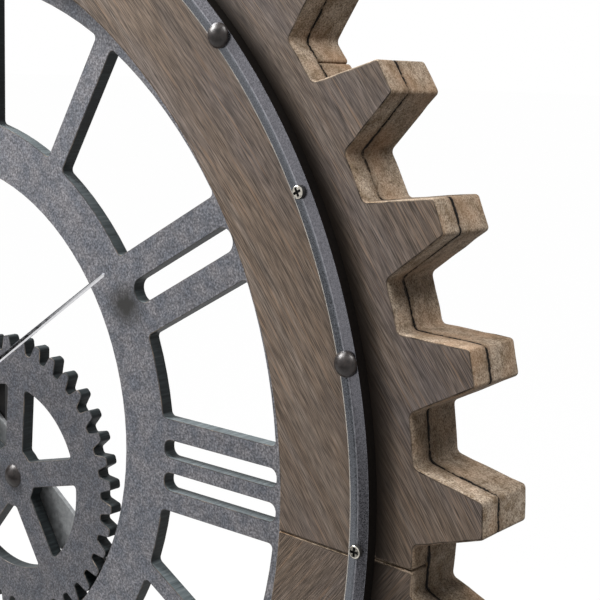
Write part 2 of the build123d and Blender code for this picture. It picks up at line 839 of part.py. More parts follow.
# Setting wheel: driven by the minute pinion, drives the hour wheel, turned by the knob at the back
setting_phase = mesh_phase(setting_bearing, 0, minute_pinion_n, setting_wheel_n)
with BuildPart() as setting_wheel:
    with BuildSketch(at(knob_h + knob_skin, setting_x, setting_z)):
        Circle(pivot_r)
    extrude(amount=wall_in + pivot_deep - knob_h - knob_skin)
    with BuildSketch(at(setting_h, setting_x, setting_z)):
        fine_teeth(setting_wheel_n, minute_module, setting_phase)
    extrude(amount=hour_wheel_t)
    with BuildSketch(at(hour_wheel_h - pinion_over, setting_x, setting_z)):
        fine_teeth(setting_pinion_n, hour_module, setting_bearing)
    extrude(amount=hour_wheel_t + 2 * pinion_over)
save(setting_wheel.part, "setting_wheel")

with BuildPart() as setting_knob:
    with BuildSketch(at(knob_h, setting_x, setting_z)):
        Circle(knob_r)
        with PolarLocations(knob_r + knob_notch_out, knob_notch_n):
            Circle(knob_notch_r, mode=Mode.SUBTRACT)
    extrude(amount=knob_t)
    with BuildSketch(at(knob_h + knob_skin, setting_x, setting_z)):
        Circle(pivot_r + seat_gap)
    extrude(amount=knob_t, mode=Mode.SUBTRACT)
save(setting_knob.part, "setting_knob")

# Hour wheel with its pipe through the bushing
hour_phase = mesh_phase(setting_bearing + 180.0, setting_bearing, setting_pinion_n, hour_wheel_n)
with BuildPart() as hour_wheel:
    with BuildSketch(at(hour_wheel_h)):
        fine_teeth(hour_wheel_n, hour_module, hour_phase)
    extrude(amount=hour_wheel_t)
    with BuildSketch(at(hour_wheel_h)):
        Circle(pipe_r)
    extrude(amount=pipe_top - hour_wheel_h)
    with BuildSketch(at(hour_wheel_h)):
        Circle(arbor_r + run_gap)
    extrude(amount=pipe_top - hour_wheel_h, mode=Mode.SUBTRACT)
save(hour_wheel.part, "hour_wheel")

# Going train: centre wheel on a slip clutch, third wheel, fourth wheel and the magnet rotor
with BuildPart() as centre_wheel:
    with BuildSketch(at(centre_h)):
        fine_teeth(centre_n, centre_module, 0)
    extrude(amount=wheel_t)
    with BuildSketch(at(centre_h - clutch_back)):
        Circle(clutch_r)
    extrude(amount=wheel_t + clutch_back + clutch_front)
    with BuildSketch(at(centre_h - clutch_back)):
        Circle(arbor_r + run_gap)
    extrude(amount=wheel_t + clutch_back + clutch_front, mode=Mode.SUBTRACT)
save(centre_wheel.part, "centre_wheel")

third_phase = mesh_phase(third_bearing, 0, centre_n, leaf_n)
with BuildPart() as third_wheel:
    with BuildSketch(at(cover_in - pivot_deep, third_x, third_z)):
        Circle(fine_r)
    extrude(amount=wall_in - cover_in + 2 * pivot_deep)
    with BuildSketch(at(third_h, third_x, third_z)):
        fine_teeth(third_n, third_module, 0)
    extrude(amount=wheel_t)
    with BuildSketch(at(third_h + wheel_t, third_x, third_z)):
        fine_teeth(leaf_n, centre_module, third_phase)
    extrude(amount=centre_h + pinion_over - third_h)
save(third_wheel.part, "third_wheel")

fourth_phase = mesh_phase(fourth_bearing, 0, third_n, leaf_n)
with BuildPart() as fourth_wheel:
    with BuildSketch(at(cover_in - pivot_deep, fourth_x, fourth_z)):
        Circle(fine_r)
    extrude(amount=wall_in - cover_in + 2 * pivot_deep)
    with BuildSketch(at(fourth_h, fourth_x, fourth_z)):
        fine_teeth(fourth_n, fourth_module, 0)
    extrude(amount=fourth_t)
    with BuildSketch(at(third_h - pinion_over, fourth_x, fourth_z)):
        fine_teeth(leaf_n, third_module, fourth_phase)
    extrude(amount=fourth_h - third_h + pinion_over)
save(fourth_wheel.part, "fourth_wheel")

rotor_phase = mesh_phase(rotor_bearing, 0, fourth_n, leaf_n)
with BuildPart() as rotor:
    with BuildSketch(at(cover_in - pivot_deep, rotor_x, rotor_z)):
        Circle(fine_r)
    extrude(amount=wall_in - cover_in + 2 * pivot_deep)
    with BuildSketch(at(magnet_h, rotor_x, rotor_z)):
        Circle(magnet_r)
    extrude(amount=magnet_t)
    with BuildSketch(at(magnet_h + magnet_t, rotor_x, rotor_z)):
        fine_teeth(leaf_n, fourth_module, rotor_phase)
    extrude(amount=fourth_h + wheel_t + pinion_over - magnet_h - magnet_t)
save(rotor.part, "rotor")

# Stator around the rotor, with the coil and its core
with BuildPart() as stator:
    with BuildSketch(at(stator_h)):
        with Locations((rotor_x, rotor_z)):
            Circle(stator_ring_r)
        with Locations(((left_arm_x + rotor_x) / 2, rotor_z)):
            Rectangle(rotor_x - left_arm_x, arm_w)
        with Locations((left_arm_x, (rotor_z + core_z) / 2)):
            Rectangle(arm_w, core_z - rotor_z + arm_w)
        with Locations((rotor_x, (rotor_z + core_z + arm_w / 2) / 2)):
            Rectangle(arm_w, core_z - rotor_z + arm_w / 2)
        with Locations((rotor_x, rotor_z)):
            Circle(stator_hole_r, mode=Mode.SUBTRACT)
    extrude(amount=stator_t)
save(stator.part, "stator")

core_h = stator_h + stator_t
with BuildPart() as coil_core:
    with BuildSketch(at(core_h)):
        with Locations(((left_arm_x + rotor_x) / 2, core_z)):
            Rectangle(rotor_x - left_arm_x + arm_w, core_w)
    extrude(amount=stator_t)
save(coil_core.part, "coil_core")

with BuildPart() as coil:
    with BuildSketch(Plane.YZ.offset(coil_x - coil_l / 2)):
        with Locations((middle_h - core_h - stator_t / 2, core_z)):
            Circle(coil_r)
            Circle(coil_bore_r, mode=Mode.SUBTRACT)
    extrude(amount=coil_l)
save(coil.part, "coil")

# Circuit board with its chip
with BuildPart() as circuit_board:
    with BuildSketch(at(board_h)):
        with Locations((board_x, board_z)):
            Rectangle(board_w, board_l)
        with Locations((post_x, post_top_z), (post_x, post_low_z)):
            Circle(post_r + board_gap, mode=Mode.SUBTRACT)
    extrude(amount=board_t)
    with BuildSketch(at(board_h + board_t)):
        with Locations((board_x, board_z)):
            Circle(chip_r)
    extrude(amount=chip_t)
save(circuit_board.part, "circuit_board")

# Cell and its two contact strips
with BuildPart() as cell:
    with BuildSketch(Plane.YZ.offset(-(cell_l + nub_l) / 2)):
        with Locations((middle_h - cell_h, cell_z)):
            Circle(cell_r)
    extrude(amount=cell_l)
    with BuildSketch(Plane.YZ.offset((cell_l - nub_l) / 2)):
        with Locations((middle_h - cell_h, cell_z)):
            Circle(nub_r)
    extrude(amount=nub_l)
save(cell.part, "cell")

with BuildPart() as contacts:
    with BuildSketch(at(cell_h - contact_w / 2)):
        with Locations((-contact_x, cell_z), (contact_x, cell_z)):
            Rectangle(contact_t, contact_w)
    extrude(amount=contact_w)
save(contacts.part, "contacts")

# Hands, lying along +X in the sketch and turned to ten past ten
for name, hand_h, reach, width, bore_r, bearing in (
    ("hour_hand", hour_hand_h, hour_hand_l, hour_hand_w, pipe_r + seat_gap, hour_bearing),
    ("minute_hand", minute_hand_h, minute_hand_l, minute_hand_w, stud_end_r + seat_gap, minute_bearing),
):
    with BuildPart() as hand:
        with BuildSketch(at(hand_h)):
            with Locations(Location((0, 0, 0), (0, 0, bearing))):
                Polygon(
                    (-hand_tail, -width / 2), (0, -width / 2), (reach - hand_point, -hand_tip_w / 2),
                    (reach, 0), (reach - hand_point, hand_tip_w / 2), (0, width / 2),
                    (-hand_tail, width / 2), align=None,
                )
            Circle(hand_hub_r)
            Circle(bore_r, mode=Mode.SUBTRACT)
        extrude(amount=hand_t)
    save(hand.part, name)

with BuildPart() as hand_nut:
    with BuildSketch(at(minute_hand_h + hand_t)):
        Circle(cap_r)
    extrude(amount=cap_t)
    fillet(hand_nut.faces().sort_by(Axis.Y)[0].edges(), cap_round)
    with BuildSketch(at(minute_hand_h + hand_t)):
        Circle(stud_end_r + seat_gap)
    extrude(amount=stud_end_l + pilot_gap, mode=Mode.SUBTRACT)
save(hand_nut.part, "hand_nut")

# Keyhole hanger at twelve o'clock with its screws
with BuildPart() as hanger_plate:
    with BuildSketch(at(wall_gap)):
        with Locations((0, hanger_z)):
            RectangleRounded(hanger_w, hanger_l, hanger_round)
        with Locations((0, key_z)):
            Circle(key_r, mode=Mode.SUBTRACT)
        with Locations((0, key_z + key_rise / 2)):
            Rectangle(2 * key_slot_r, key_rise, mode=Mode.SUBTRACT)
        with Locations((0, key_z + key_rise)):
            Circle(key_slot_r, mode=Mode.SUBTRACT)
        with Locations((0, hanger_z - hanger_screw_z), (0, hanger_z + hanger_screw_z)):
            Circle(hanger_shank_r + pilot_gap, mode=Mode.SUBTRACT)
    extrude(amount=-hanger_t)
save(hanger_plate.part, "hanger_plate")

with BuildPart() as hanger_screws:
    with BuildSketch(at(wall_gap - hanger_t)):
        with Locations((0, hanger_z - hanger_screw_z), (0, hanger_z + hanger_screw_z)):
            Circle(hanger_head_r)
    extrude(amount=-hanger_head_h)
    with BuildSketch(at(wall_gap - hanger_t)):
        with Locations((0, hanger_z - hanger_screw_z), (0, hanger_z + hanger_screw_z)):
            Circle(hanger_shank_r)
    extrude(amount=hanger_t + hanger_grip)
    with BuildSketch(at(wall_gap - hanger_t - hanger_head_h)):
        with Locations((0, hanger_z - hanger_screw_z), (0, hanger_z + hanger_screw_z)):
            Rectangle(cross_l, cross_w)
            Rectangle(cross_w, cross_l)
    extrude(amount=cross_d, mode=Mode.SUBTRACT)
save(hanger_screws.part, "hanger_screws")

# Rubber pads that hold the ring off the wall
with BuildPart() as wall_pads:
    with BuildSketch(at(0)):
        with PolarLocations(pad_at_r, pad_count, start_angle=pad_phase):
            Circle(pad_r)
    extrude(amount=wall_gap)
save(wall_pads.part, "wall_pads")
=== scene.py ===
"""Looks of the wooden gear wall clock: worn boards, iron hoop, cut dial, gears, movement and hands."""

import json
from math import atan2, degrees, hypot, pi, radians, sin

import bmesh
import bpy
from mathutils import Matrix, Vector, noise

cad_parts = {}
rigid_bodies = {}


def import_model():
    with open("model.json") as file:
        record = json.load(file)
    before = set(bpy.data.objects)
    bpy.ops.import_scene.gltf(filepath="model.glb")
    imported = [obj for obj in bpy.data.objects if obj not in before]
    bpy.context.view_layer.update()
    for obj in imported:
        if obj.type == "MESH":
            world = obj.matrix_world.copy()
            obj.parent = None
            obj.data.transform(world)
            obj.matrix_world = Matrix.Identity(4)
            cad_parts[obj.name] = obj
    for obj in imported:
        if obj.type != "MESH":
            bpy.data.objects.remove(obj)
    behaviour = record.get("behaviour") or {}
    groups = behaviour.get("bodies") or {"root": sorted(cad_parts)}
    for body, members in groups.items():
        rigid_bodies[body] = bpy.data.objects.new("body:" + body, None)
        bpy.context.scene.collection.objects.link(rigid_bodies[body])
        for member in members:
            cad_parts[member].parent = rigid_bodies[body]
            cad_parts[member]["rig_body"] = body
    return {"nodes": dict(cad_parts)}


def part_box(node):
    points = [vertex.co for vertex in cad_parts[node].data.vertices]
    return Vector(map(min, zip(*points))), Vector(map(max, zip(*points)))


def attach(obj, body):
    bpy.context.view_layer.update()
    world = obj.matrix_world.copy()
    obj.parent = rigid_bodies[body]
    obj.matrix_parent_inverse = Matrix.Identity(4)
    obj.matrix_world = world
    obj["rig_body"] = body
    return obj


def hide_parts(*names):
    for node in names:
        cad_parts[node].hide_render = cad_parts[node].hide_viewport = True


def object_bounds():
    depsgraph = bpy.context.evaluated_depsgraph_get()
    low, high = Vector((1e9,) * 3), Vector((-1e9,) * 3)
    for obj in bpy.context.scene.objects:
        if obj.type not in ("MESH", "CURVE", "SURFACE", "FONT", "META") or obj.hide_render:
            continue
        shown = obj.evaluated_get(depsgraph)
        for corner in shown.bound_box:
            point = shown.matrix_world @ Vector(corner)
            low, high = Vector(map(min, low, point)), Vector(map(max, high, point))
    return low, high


bl_info = {
    "name": "Wooden gear wall clock",
    "version": (1, 0, 0),
    "blender": (4, 5, 0),
    "location": "View3D > Sidebar > Gear clock",
    "description": "Dresses the packed gear clock with worn pieces and procedural finishes",
    "category": "Add Mesh",
}

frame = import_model()
cad_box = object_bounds()

MM = 0.001
TURN = 360.0
BLACK = (0.0, 0.0, 0.0, 1.0)
WHITE = (1.0, 1.0, 1.0, 1.0)
FRAME_BODY = "clock_frame"
# Boards in each layer of the ring, and the degrees that one spans
BOARDS = 4
BOARD_SPAN = TURN / BOARDS
# Middle of the first front board's span and of the first back board's span, from three o'clock
FRONT_MIDDLE = 43.2
BACK_MIDDLE = 83.2
# Depth of the seam between the two layers
SEAM_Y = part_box("front_board_1")[1].y
# Radii of the hoop from its inner edge outwards, and of the roots of the ring's teeth
HOOP_IN = 288.6 * MM
RIDGE_RADIUS = 293.4 * MM
SKIRT_IN = 296.6 * MM
HOOP_OUT = 298.4 * MM
TOOTH_ROOT = 303.0 * MM
# Least height of a sawn wall of the boards and of a cut wall of the plates
BOARD_WALL = 9 * MM
PLATE_WALL = 3 * MM
# Length of one step and of one bite of the wear along the sawn outline
WEAR_STEP = 6 * MM
WEAR_BITE = 7 * MM
# Depths below the top of a pan head: the edge of its dome, the end of its recess and its seat
HEAD_EDGE = 0.2 * MM
RECESS_END = 1.3 * MM
HEAD_SEAT = 2.1 * MM
# Loose corners within this distance are one point, and triangles within these degrees one flat face
MERGE = 0.002 * MM
FLAT = 0.4
# Two points whose depths or radii differ by less lie on one line
LEVEL = 0.1 * MM
# Degrees past which a corner is rounded and shaded as sharp, unless a piece has its own
SHARP = 28.0
# Share of a face's normal along the depth, from which it is a flat, and a board's or a hand's top
FLAT_FACE = 0.9
TOP_FACE = 0.95
# Share of it up to which a face is an upright wall
WALL_FACE = 0.3
# Values between which most of a noise lies
NOISE_LOW = 0.3
NOISE_HIGH = 0.7
# Bend of the grain across a board's length, per metre
GRAIN_BEND = 0.35
# Roughness from which a surface is open enough to lose most of its sheen, and nearly all of it
MATT = 0.7
SOOTY = 0.85
# Sheen of a closed surface, of an open one and of a sooty one
CLOSED_SHEEN = 0.5
OPEN_SHEEN = 0.2
SOOTY_SHEEN = 0.05


def linear(code):
    """sRGB hex colour as linear RGBA."""
    parts = [int(code[i:i + 2], 16) / 255 for i in (1, 3, 5)]
    return tuple(c / 12.92 if c < 0.04045 else ((c + 0.055) / 1.055) ** 2.4 for c in parts) + (1.0,)


def fill(tree, node, inputs):
    """Links or sets a node's sockets. A node given as a value stands for its first output."""
    for key, value in inputs.items():
        if isinstance(value, bpy.types.Node):
            value = value.outputs[0]
        if isinstance(value, bpy.types.NodeSocket):
            tree.links.new(value, node.inputs[key])
        else:
            node.inputs[key].default_value = value


def add(tree, kind, inputs=(), stops=(), **settings):
    """Adds a node with its settings, socket values, links and ramp stops.

    A colour mix has its share in socket 0, its colours in 6 and 7 and its result in output 2. A map range
    reads from the value in 1 to that in 2, and gives 3 to 4.
    """
    made = tree.nodes.new("ShaderNode" + kind)
    for key, value in settings.items():
        setattr(made, key, value)
    fill(tree, made, dict(inputs))
    if stops:
        marks = made.color_ramp.elements
        marks[0].position, marks[0].color = stops[0]
        marks[1].position, marks[1].color = stops[-1]
        for place, colour in stops[1:-1]:
            marks.new(place).color = colour
    return made


def blank(name):
    """New material with its tree, its shader and its Object coordinates."""
    material = bpy.data.materials.new(name)
    material.use_nodes = True
    tree = material.node_tree
    place = add(tree, "TexCoord").outputs["Object"]
    return material, tree, tree.nodes["Principled BSDF"], place


class ClockSizes(bpy.types.PropertyGroup):
    """Sizes that the looks add to the solids."""

    board_round: bpy.props.FloatProperty(
        name="Board rounding", description="Width of the worn corner of the boards",
        default=0.9 * MM, min=0.0, unit="LENGTH", subtype="DISTANCE")
    tooth_round: bpy.props.FloatProperty(
        name="Tooth rounding", description="Rounding of the upright corners of the sawn teeth",
        default=1.6 * MM, min=0.0, unit="LENGTH", subtype="DISTANCE")
    board_wear: bpy.props.FloatProperty(
        name="Board wear", description="How deep the sawn outline of the teeth is worn back in places",
        default=0.6 * MM, min=0.0, unit="LENGTH", subtype="DISTANCE")
    cross_share: bpy.props.FloatProperty(
        name="Cross share", description="Size of the worn cross in a screw head against the cut one",
        default=1.2, min=1.0, max=1.3, subtype="FACTOR")
    inner_bow: bpy.props.FloatProperty(
        name="Inner bow", description="How much fuller a front board's inner edge is sawn at its middle",
        default=2.3 * MM, min=0.0, unit="LENGTH", subtype="DISTANCE")
    plate_round: bpy.props.FloatProperty(
        name="Plate rounding", description="Width of the worn corner of the dial and gear plates",
        default=0.35 * MM, min=0.0, unit="LENGTH", subtype="DISTANCE")
    gear_corner: bpy.props.FloatProperty(
        name="Gear corner", description="Rounding of the upright corners of the gear plates",
        default=1.3 * MM, min=0.0, unit="LENGTH", subtype="DISTANCE")
    hand_slope: bpy.props.FloatProperty(
        name="Hand slope", description="Width of the sloped sides of the hands",
        default=0.75 * MM, min=0.0, unit="LENGTH", subtype="DISTANCE")
    seam_wander: bpy.props.FloatProperty(
        name="Seam wander", description="How far the crack between the two layers of boards wanders",
        default=0.5 * MM, min=0.0, unit="LENGTH", subtype="DISTANCE")
    hoop_steps: bpy.props.IntProperty(
        name="Hoop steps", description="Steps of the spin that makes the hoop", default=288, min=24)


class ClockColours(bpy.types.PropertyGroup):
    """Main colour of each finish."""

    stain: bpy.props.FloatVectorProperty(
        name="Stain", description="Grey-brown stain of the boards' faces",
        default=linear("#6a5c50"), size=4, min=0.0, max=1.0, subtype="COLOR")
    sawn: bpy.props.FloatVectorProperty(
        name="Sawn wood", description="Raw sawn sides of the teeth",
        default=linear("#9d8f80"), size=4, min=0.0, max=1.0, subtype="COLOR")
    plate: bpy.props.FloatVectorProperty(
        name="Plate", description="Grey face of the dial and gear plates",
        default=linear("#78797e"), size=4, min=0.0, max=1.0, subtype="COLOR")
    stage: bpy.props.FloatVectorProperty(
        name="Stage", description="Pale floor",
        default=linear("#f4f3f1"), size=4, min=0.0, max=1.0, subtype="COLOR")


def stained_fir(grain):
    """Fir board, brushed along the grain and stained grey-brown.

    The eye gets fine dark fibres, a few bare tan streaks and short splits, all along one direction.
    """
    colours = bpy.context.scene.clock_colours
    material, tree, shader, place = blank(f"fir_brushed_and_stained_{round(grain)}")
    # Lengths along the grain, through the board and across the grain, in metres
    sizes = {
        "bands": (0.260, 0.050, 0.0060),
        "fibre": (0.009, 0.004, 0.00040),
        "cord": (0.050, 0.004, 0.0011),
        "streak": (0.034, 0.004, 0.0007),
        "split": (0.013, 0.004, 0.0006),
        "patch": (0.090, 0.050, 0.0300),
    }
    # The grain swings a few millimetres to either side
    swing = add(tree, "TexNoise", {"Vector": place, "Scale": 1 / (170 * MM), "Detail": 1.0})
    centred = add(tree, "VectorMath", {0: swing.outputs[1], 1: (0.5, 0.5, 0.5)}, operation="SUBTRACT")
    pushed = add(tree, "VectorMath", {
        0: centred, 1: (0.010, 0.010, 0.010), 2: place}, operation="MULTIPLY_ADD")
    # It runs straight at the board's middle and bends a little toward the ends
    turned = add(tree, "Mapping", {
        "Vector": pushed, "Rotation": (0.0, -radians(grain), 0.0)}, vector_type="TEXTURE")
    axes = add(tree, "SeparateXYZ", {0: turned})
    squared = add(tree, "Math", {0: axes, 1: axes}, operation="MULTIPLY")
    across = add(tree, "Math", {
        0: squared, 1: -GRAIN_BEND, 2: axes.outputs[2]}, operation="MULTIPLY_ADD")
    bent = add(tree, "CombineXYZ", {0: axes, 1: axes.outputs[1], 2: across})
    # Each pattern starts at a place of its own, so that no two run side by side
    field = {}
    for step, (name, size) in enumerate(sizes.items()):
        drawn = add(tree, "Mapping", {
            "Vector": bent, "Location": (0.37 * step, 0.0, 0.19 * step), "Scale": size},
            vector_type="TEXTURE")
        field[name] = add(tree, "TexNoise", {
            "Vector": drawn, "Scale": 1.0, "Detail": 2.0, "Roughness": 0.5, "Distortion": 0.2})
    bands = add(tree, "ValToRGB", {0: field["bands"]}, stops=[
        (0.32, linear("#5f5349")), (0.50, tuple(colours.stain)), (0.68, linear("#70645a"))])
    cool = add(tree, "MapRange", {0: field["patch"], 1: 0.40, 2: 0.65, 3: 0.0, 4: 0.65})
    toned = add(tree, "Mix", {0: cool, 6: bands, 7: linear("#5c5656")}, data_type="RGBA")
    for name, low, high, share in (
        ("fibre", "#747474", "#f2f2f2", 0.9),
        ("cord", "#8e8e8e", "#e0e0e0", 0.25),
    ):
        tone = add(tree, "ValToRGB", {0: field[name]}, stops=[
            (0.30, linear(low)), (0.50, linear("#bcbcbc")), (0.70, linear(high))])
        toned = add(tree, "Mix", {
            0: share, 6: toned.outputs[2], 7: tone}, data_type="RGBA", blend_type="OVERLAY")
    streak = add(tree, "ValToRGB", {0: field["streak"]}, stops=[
        (0.60, BLACK), (0.70, linear("#c4c4c4"))])
    bare = add(tree, "Mix", {0: streak, 6: toned.outputs[2], 7: linear("#977c66")}, data_type="RGBA")
    split = add(tree, "ValToRGB", {0: field["split"]}, stops=[(0.67, BLACK), (0.79, linear("#b4b4b4"))])
    dark = add(tree, "Mix", {0: split, 6: bare.outputs[2], 7: linear("#2b231e")}, data_type="RGBA")
    # Painted shadow of the hoop, with some stain and dust, darkens the wood along the outer side of the
    # hoop
    parts = add(tree, "SeparateXYZ", {0: place})
    level = add(tree, "CombineXYZ", {0: parts, 1: parts.outputs[2]})
    away = add(tree, "VectorMath", {0: level}, operation="LENGTH").outputs["Value"]
    hoop_shadow_fade = add(tree, "MapRange", {
        0: away, 1: HOOP_OUT, 2: HOOP_OUT + 13 * MM, 3: 0.97, 4: 0.0}, interpolation_type="SMOOTHSTEP")
    outside = add(tree, "Math", {0: away, 1: SKIRT_IN}, operation="GREATER_THAN")
    hoop_shadow_and_grime = add(tree, "Math", {0: hoop_shadow_fade, 1: outside}, operation="MULTIPLY")
    hoop_shadowed = add(tree, "Mix", {0: hoop_shadow_and_grime, 6: dark.outputs[2], 7: linear("#211a15")}, data_type="RGBA")
    relief = add(tree, "Math", {0: field["fibre"], 1: split}, operation="SUBTRACT")
    bump = add(tree, "Bump", {"Strength": 0.55, "Distance": 0.4 * MM, "Height": relief})
    # Open fibres scatter most of the sheen
    fill(tree, shader, {
        "Base Color": hoop_shadowed.outputs[2], "Roughness": 0.75, "Specular IOR Level": OPEN_SHEEN,
        "Normal": bump})
    return material


def sawn_fir():
    """Fir cut across by a band saw and left raw on the sides of the teeth.

    The eye gets a beige speckle of cut fibres, rusty patches and the dark crack between the layers.
    """
    sizes = bpy.context.scene.clock_sizes
    colours = bpy.context.scene.clock_colours
    material, tree, shader, place = blank("fir_band_sawn_raw")
    # Pattern and its size in millimetres
    field = {}
    for name, size in (
        ("fleck", 0.8), ("mottle", 6.0), ("rust", 24.0), ("wander", 22.0), ("width", 16.0), ("tear", 1.6),
    ):
        field[name] = add(tree, "TexNoise", {
            "Vector": place, "Scale": 1 / (size * MM), "Detail": 4.0, "Roughness": 0.65})
    fleck = add(tree, "ValToRGB", {0: field["fleck"]}, stops=[
        (0.36, linear("#6c5d4c")), (0.50, tuple(colours.sawn)), (0.64, linear("#bdaf9c"))])
    mottle = add(tree, "ValToRGB", {0: field["mottle"]}, stops=[
        (0.35, linear("#b8ad9f")), (0.65, WHITE)])
    aged = add(tree, "Mix", {0: 1.0, 6: fleck, 7: mottle}, data_type="RGBA", blend_type="MULTIPLY")
    rust = add(tree, "ValToRGB", {0: field["rust"]}, stops=[(0.46, BLACK), (0.66, linear("#b8b8b8"))])
    rusty = add(tree, "Mix", {0: rust, 6: aged.outputs[2], 7: linear("#8f6c4c")}, data_type="RGBA")
    # Crack along the seam between the layers: a line in Y that wanders and changes its width
    depth = add(tree, "SeparateXYZ", {0: place})
    shift = add(tree, "MapRange", {
        0: field["wander"], 1: NOISE_LOW, 2: NOISE_HIGH,
        3: SEAM_Y - sizes.seam_wander, 4: SEAM_Y + sizes.seam_wander})
    away = add(tree, "Math", {0: depth.outputs[1], 1: shift}, operation="SUBTRACT")
    near = add(tree, "Math", {0: away}, operation="ABSOLUTE")
    gape = add(tree, "MapRange", {
        0: field["width"], 1: NOISE_LOW, 2: NOISE_HIGH, 3: -0.3 * MM, 4: 1.2 * MM})
    torn = add(tree, "MapRange", {
        0: field["tear"], 1: NOISE_LOW, 2: NOISE_HIGH, 3: -0.2 * MM, 4: 1.0 * MM})
    open_by = add(tree, "Math", {0: gape, 1: torn})
    width = add(tree, "Math", {0: open_by, 1: 0.05 * MM}, operation="MAXIMUM")
    ratio = add(tree, "Math", {0: near, 1: width}, operation="DIVIDE")
    crack = add(tree, "MapRange", {0: ratio, 1: 0.8, 2: 1.15, 3: 1.0, 4: 0.0})
    # Painted shade, with some grime, darkens the sawn wood to either side of the seam
    seam_shade_and_grime = add(tree, "MapRange", {0: near, 1: 0.5 * MM, 2: 3.5 * MM, 3: 0.45, 4: 0.0})
    seam_shaded = add(tree, "Mix", {0: seam_shade_and_grime, 6: rusty.outputs[2], 7: linear("#4a3b2d")}, data_type="RGBA")
    cracked = add(tree, "Mix", {0: crack, 6: seam_shaded.outputs[2], 7: linear("#0e0a07")}, data_type="RGBA")
    bump = add(tree, "Bump", {"Strength": 0.6, "Distance": 0.4 * MM, "Height": field["fleck"]})
    fill(tree, shader, {
        "Base Color": cracked.outputs[2], "Roughness": 0.88, "Specular IOR Level": OPEN_SHEEN,
        "Normal": bump})
    return material


def planed_fir(grain):
    """Fir planed and left bare on the back, which turns to the wall.

    The eye gets straw-coloured bands between darker late wood lines.
    """
    material, tree, shader, place = blank(f"fir_planed_bare_{round(grain)}")
    turned = add(tree, "Mapping", {
        "Vector": place, "Rotation": (0.0, -radians(grain), 0.0), "Scale": (0.26, 0.02, 0.0042)},
        vector_type="TEXTURE")
    late = add(tree, "TexNoise", {
        "Vector": turned, "Scale": 1.0, "Detail": 4.0, "Roughness": 0.6, "Distortion": 0.5})
    bands = add(tree, "ValToRGB", {0: late}, stops=[
        (0.30, linear("#8a7053")), (0.48, linear("#a98f70")), (0.70, linear("#bda586"))])
    bump = add(tree, "Bump", {"Strength": 0.4, "Distance": 0.3 * MM, "Height": late})
    fill(tree, shader, {
        "Base Color": bands, "Roughness": 0.8, "Specular IOR Level": OPEN_SHEEN,
        "Normal": bump})
    return material


def hammered_plate(name, shade):
    """Steel plate with a baked hammer-grey coat, toned down by a painted shade colour.

    The eye gets a salt-and-pepper grain with a faint violet cast, soft heat marks and a few pits.
    """
    colours = bpy.context.scene.clock_colours
    material, tree, shader, place = blank(name)
    # Pattern, its size in millimetres and its detail
    field = {}
    for pattern, size, detail in (("grain", 1.05, 3.0), ("cloud", 9.0, 2.0), ("smoke", 4.0, 3.0)):
        field[pattern] = add(tree, "TexNoise", {
            "Vector": place, "Scale": 1 / (size * MM), "Detail": detail, "Roughness": 0.6})
    grain = add(tree, "ValToRGB", {0: field["grain"]}, stops=[
        (0.30, linear("#4a4a4f")), (0.50, tuple(colours.plate)), (0.70, linear("#aaaab0"))])
    cloud = add(tree, "ValToRGB", {0: field["cloud"]}, stops=[
        (0.35, linear("#ccd0d6")), (0.65, linear("#f6f2f0"))])
    # The coat is multiplied by its cloud and by the shade colour, which is painted shade where it is
    # darker than white
    coat = grain
    for tone in (cloud, linear(shade)):
        coat = add(tree, "Mix", {
            0: 1.0, 6: coat, 7: tone}, data_type="RGBA", blend_type="MULTIPLY").outputs[2]
    # A heat mark near numeral II and its like a quarter turn apart, by x and z in millimetres
    mark = 0.0
    for x, z in ((133.5, 75.2), (-75.2, 133.5), (-133.5, -75.2), (75.2, -133.5)):
        centred = add(tree, "Mapping", {
            "Vector": place, "Location": (x * MM, 0.0, z * MM), "Scale": (0.015, 0.5, 0.013)},
            vector_type="TEXTURE")
        spot = add(tree, "TexGradient", {0: centred}, gradient_type="SPHERICAL")
        mark = add(tree, "Math", {0: mark, 1: spot.outputs[1]}, operation="MAXIMUM")
    smoke = add(tree, "MapRange", {0: field["smoke"], 1: NOISE_LOW, 2: NOISE_HIGH, 3: 1.1, 4: 1.7})
    burnt = add(tree, "Math", {0: mark, 1: smoke}, operation="MULTIPLY", use_clamp=True)
    heat = add(tree, "Mix", {0: burnt, 6: coat, 7: linear("#2b2a29")}, data_type="RGBA")
    cells = add(tree, "TexVoronoi", {"Vector": place, "Scale": 1 / (55 * MM)})
    pit = add(tree, "MapRange", {0: cells.outputs["Distance"], 1: 0.012, 2: 0.024, 3: 0.8, 4: 0.0})
    pitted = add(tree, "Mix", {0: pit, 6: heat.outputs[2], 7: linear("#2c2b2b")}, data_type="RGBA")
    bump = add(tree, "Bump", {"Strength": 0.3, "Distance": 0.25 * MM, "Height": field["grain"]})
    fill(tree, shader, {
        "Base Color": pitted.outputs[2], "Metallic": 0.25, "Roughness": 0.55, "Normal": bump})
    return material


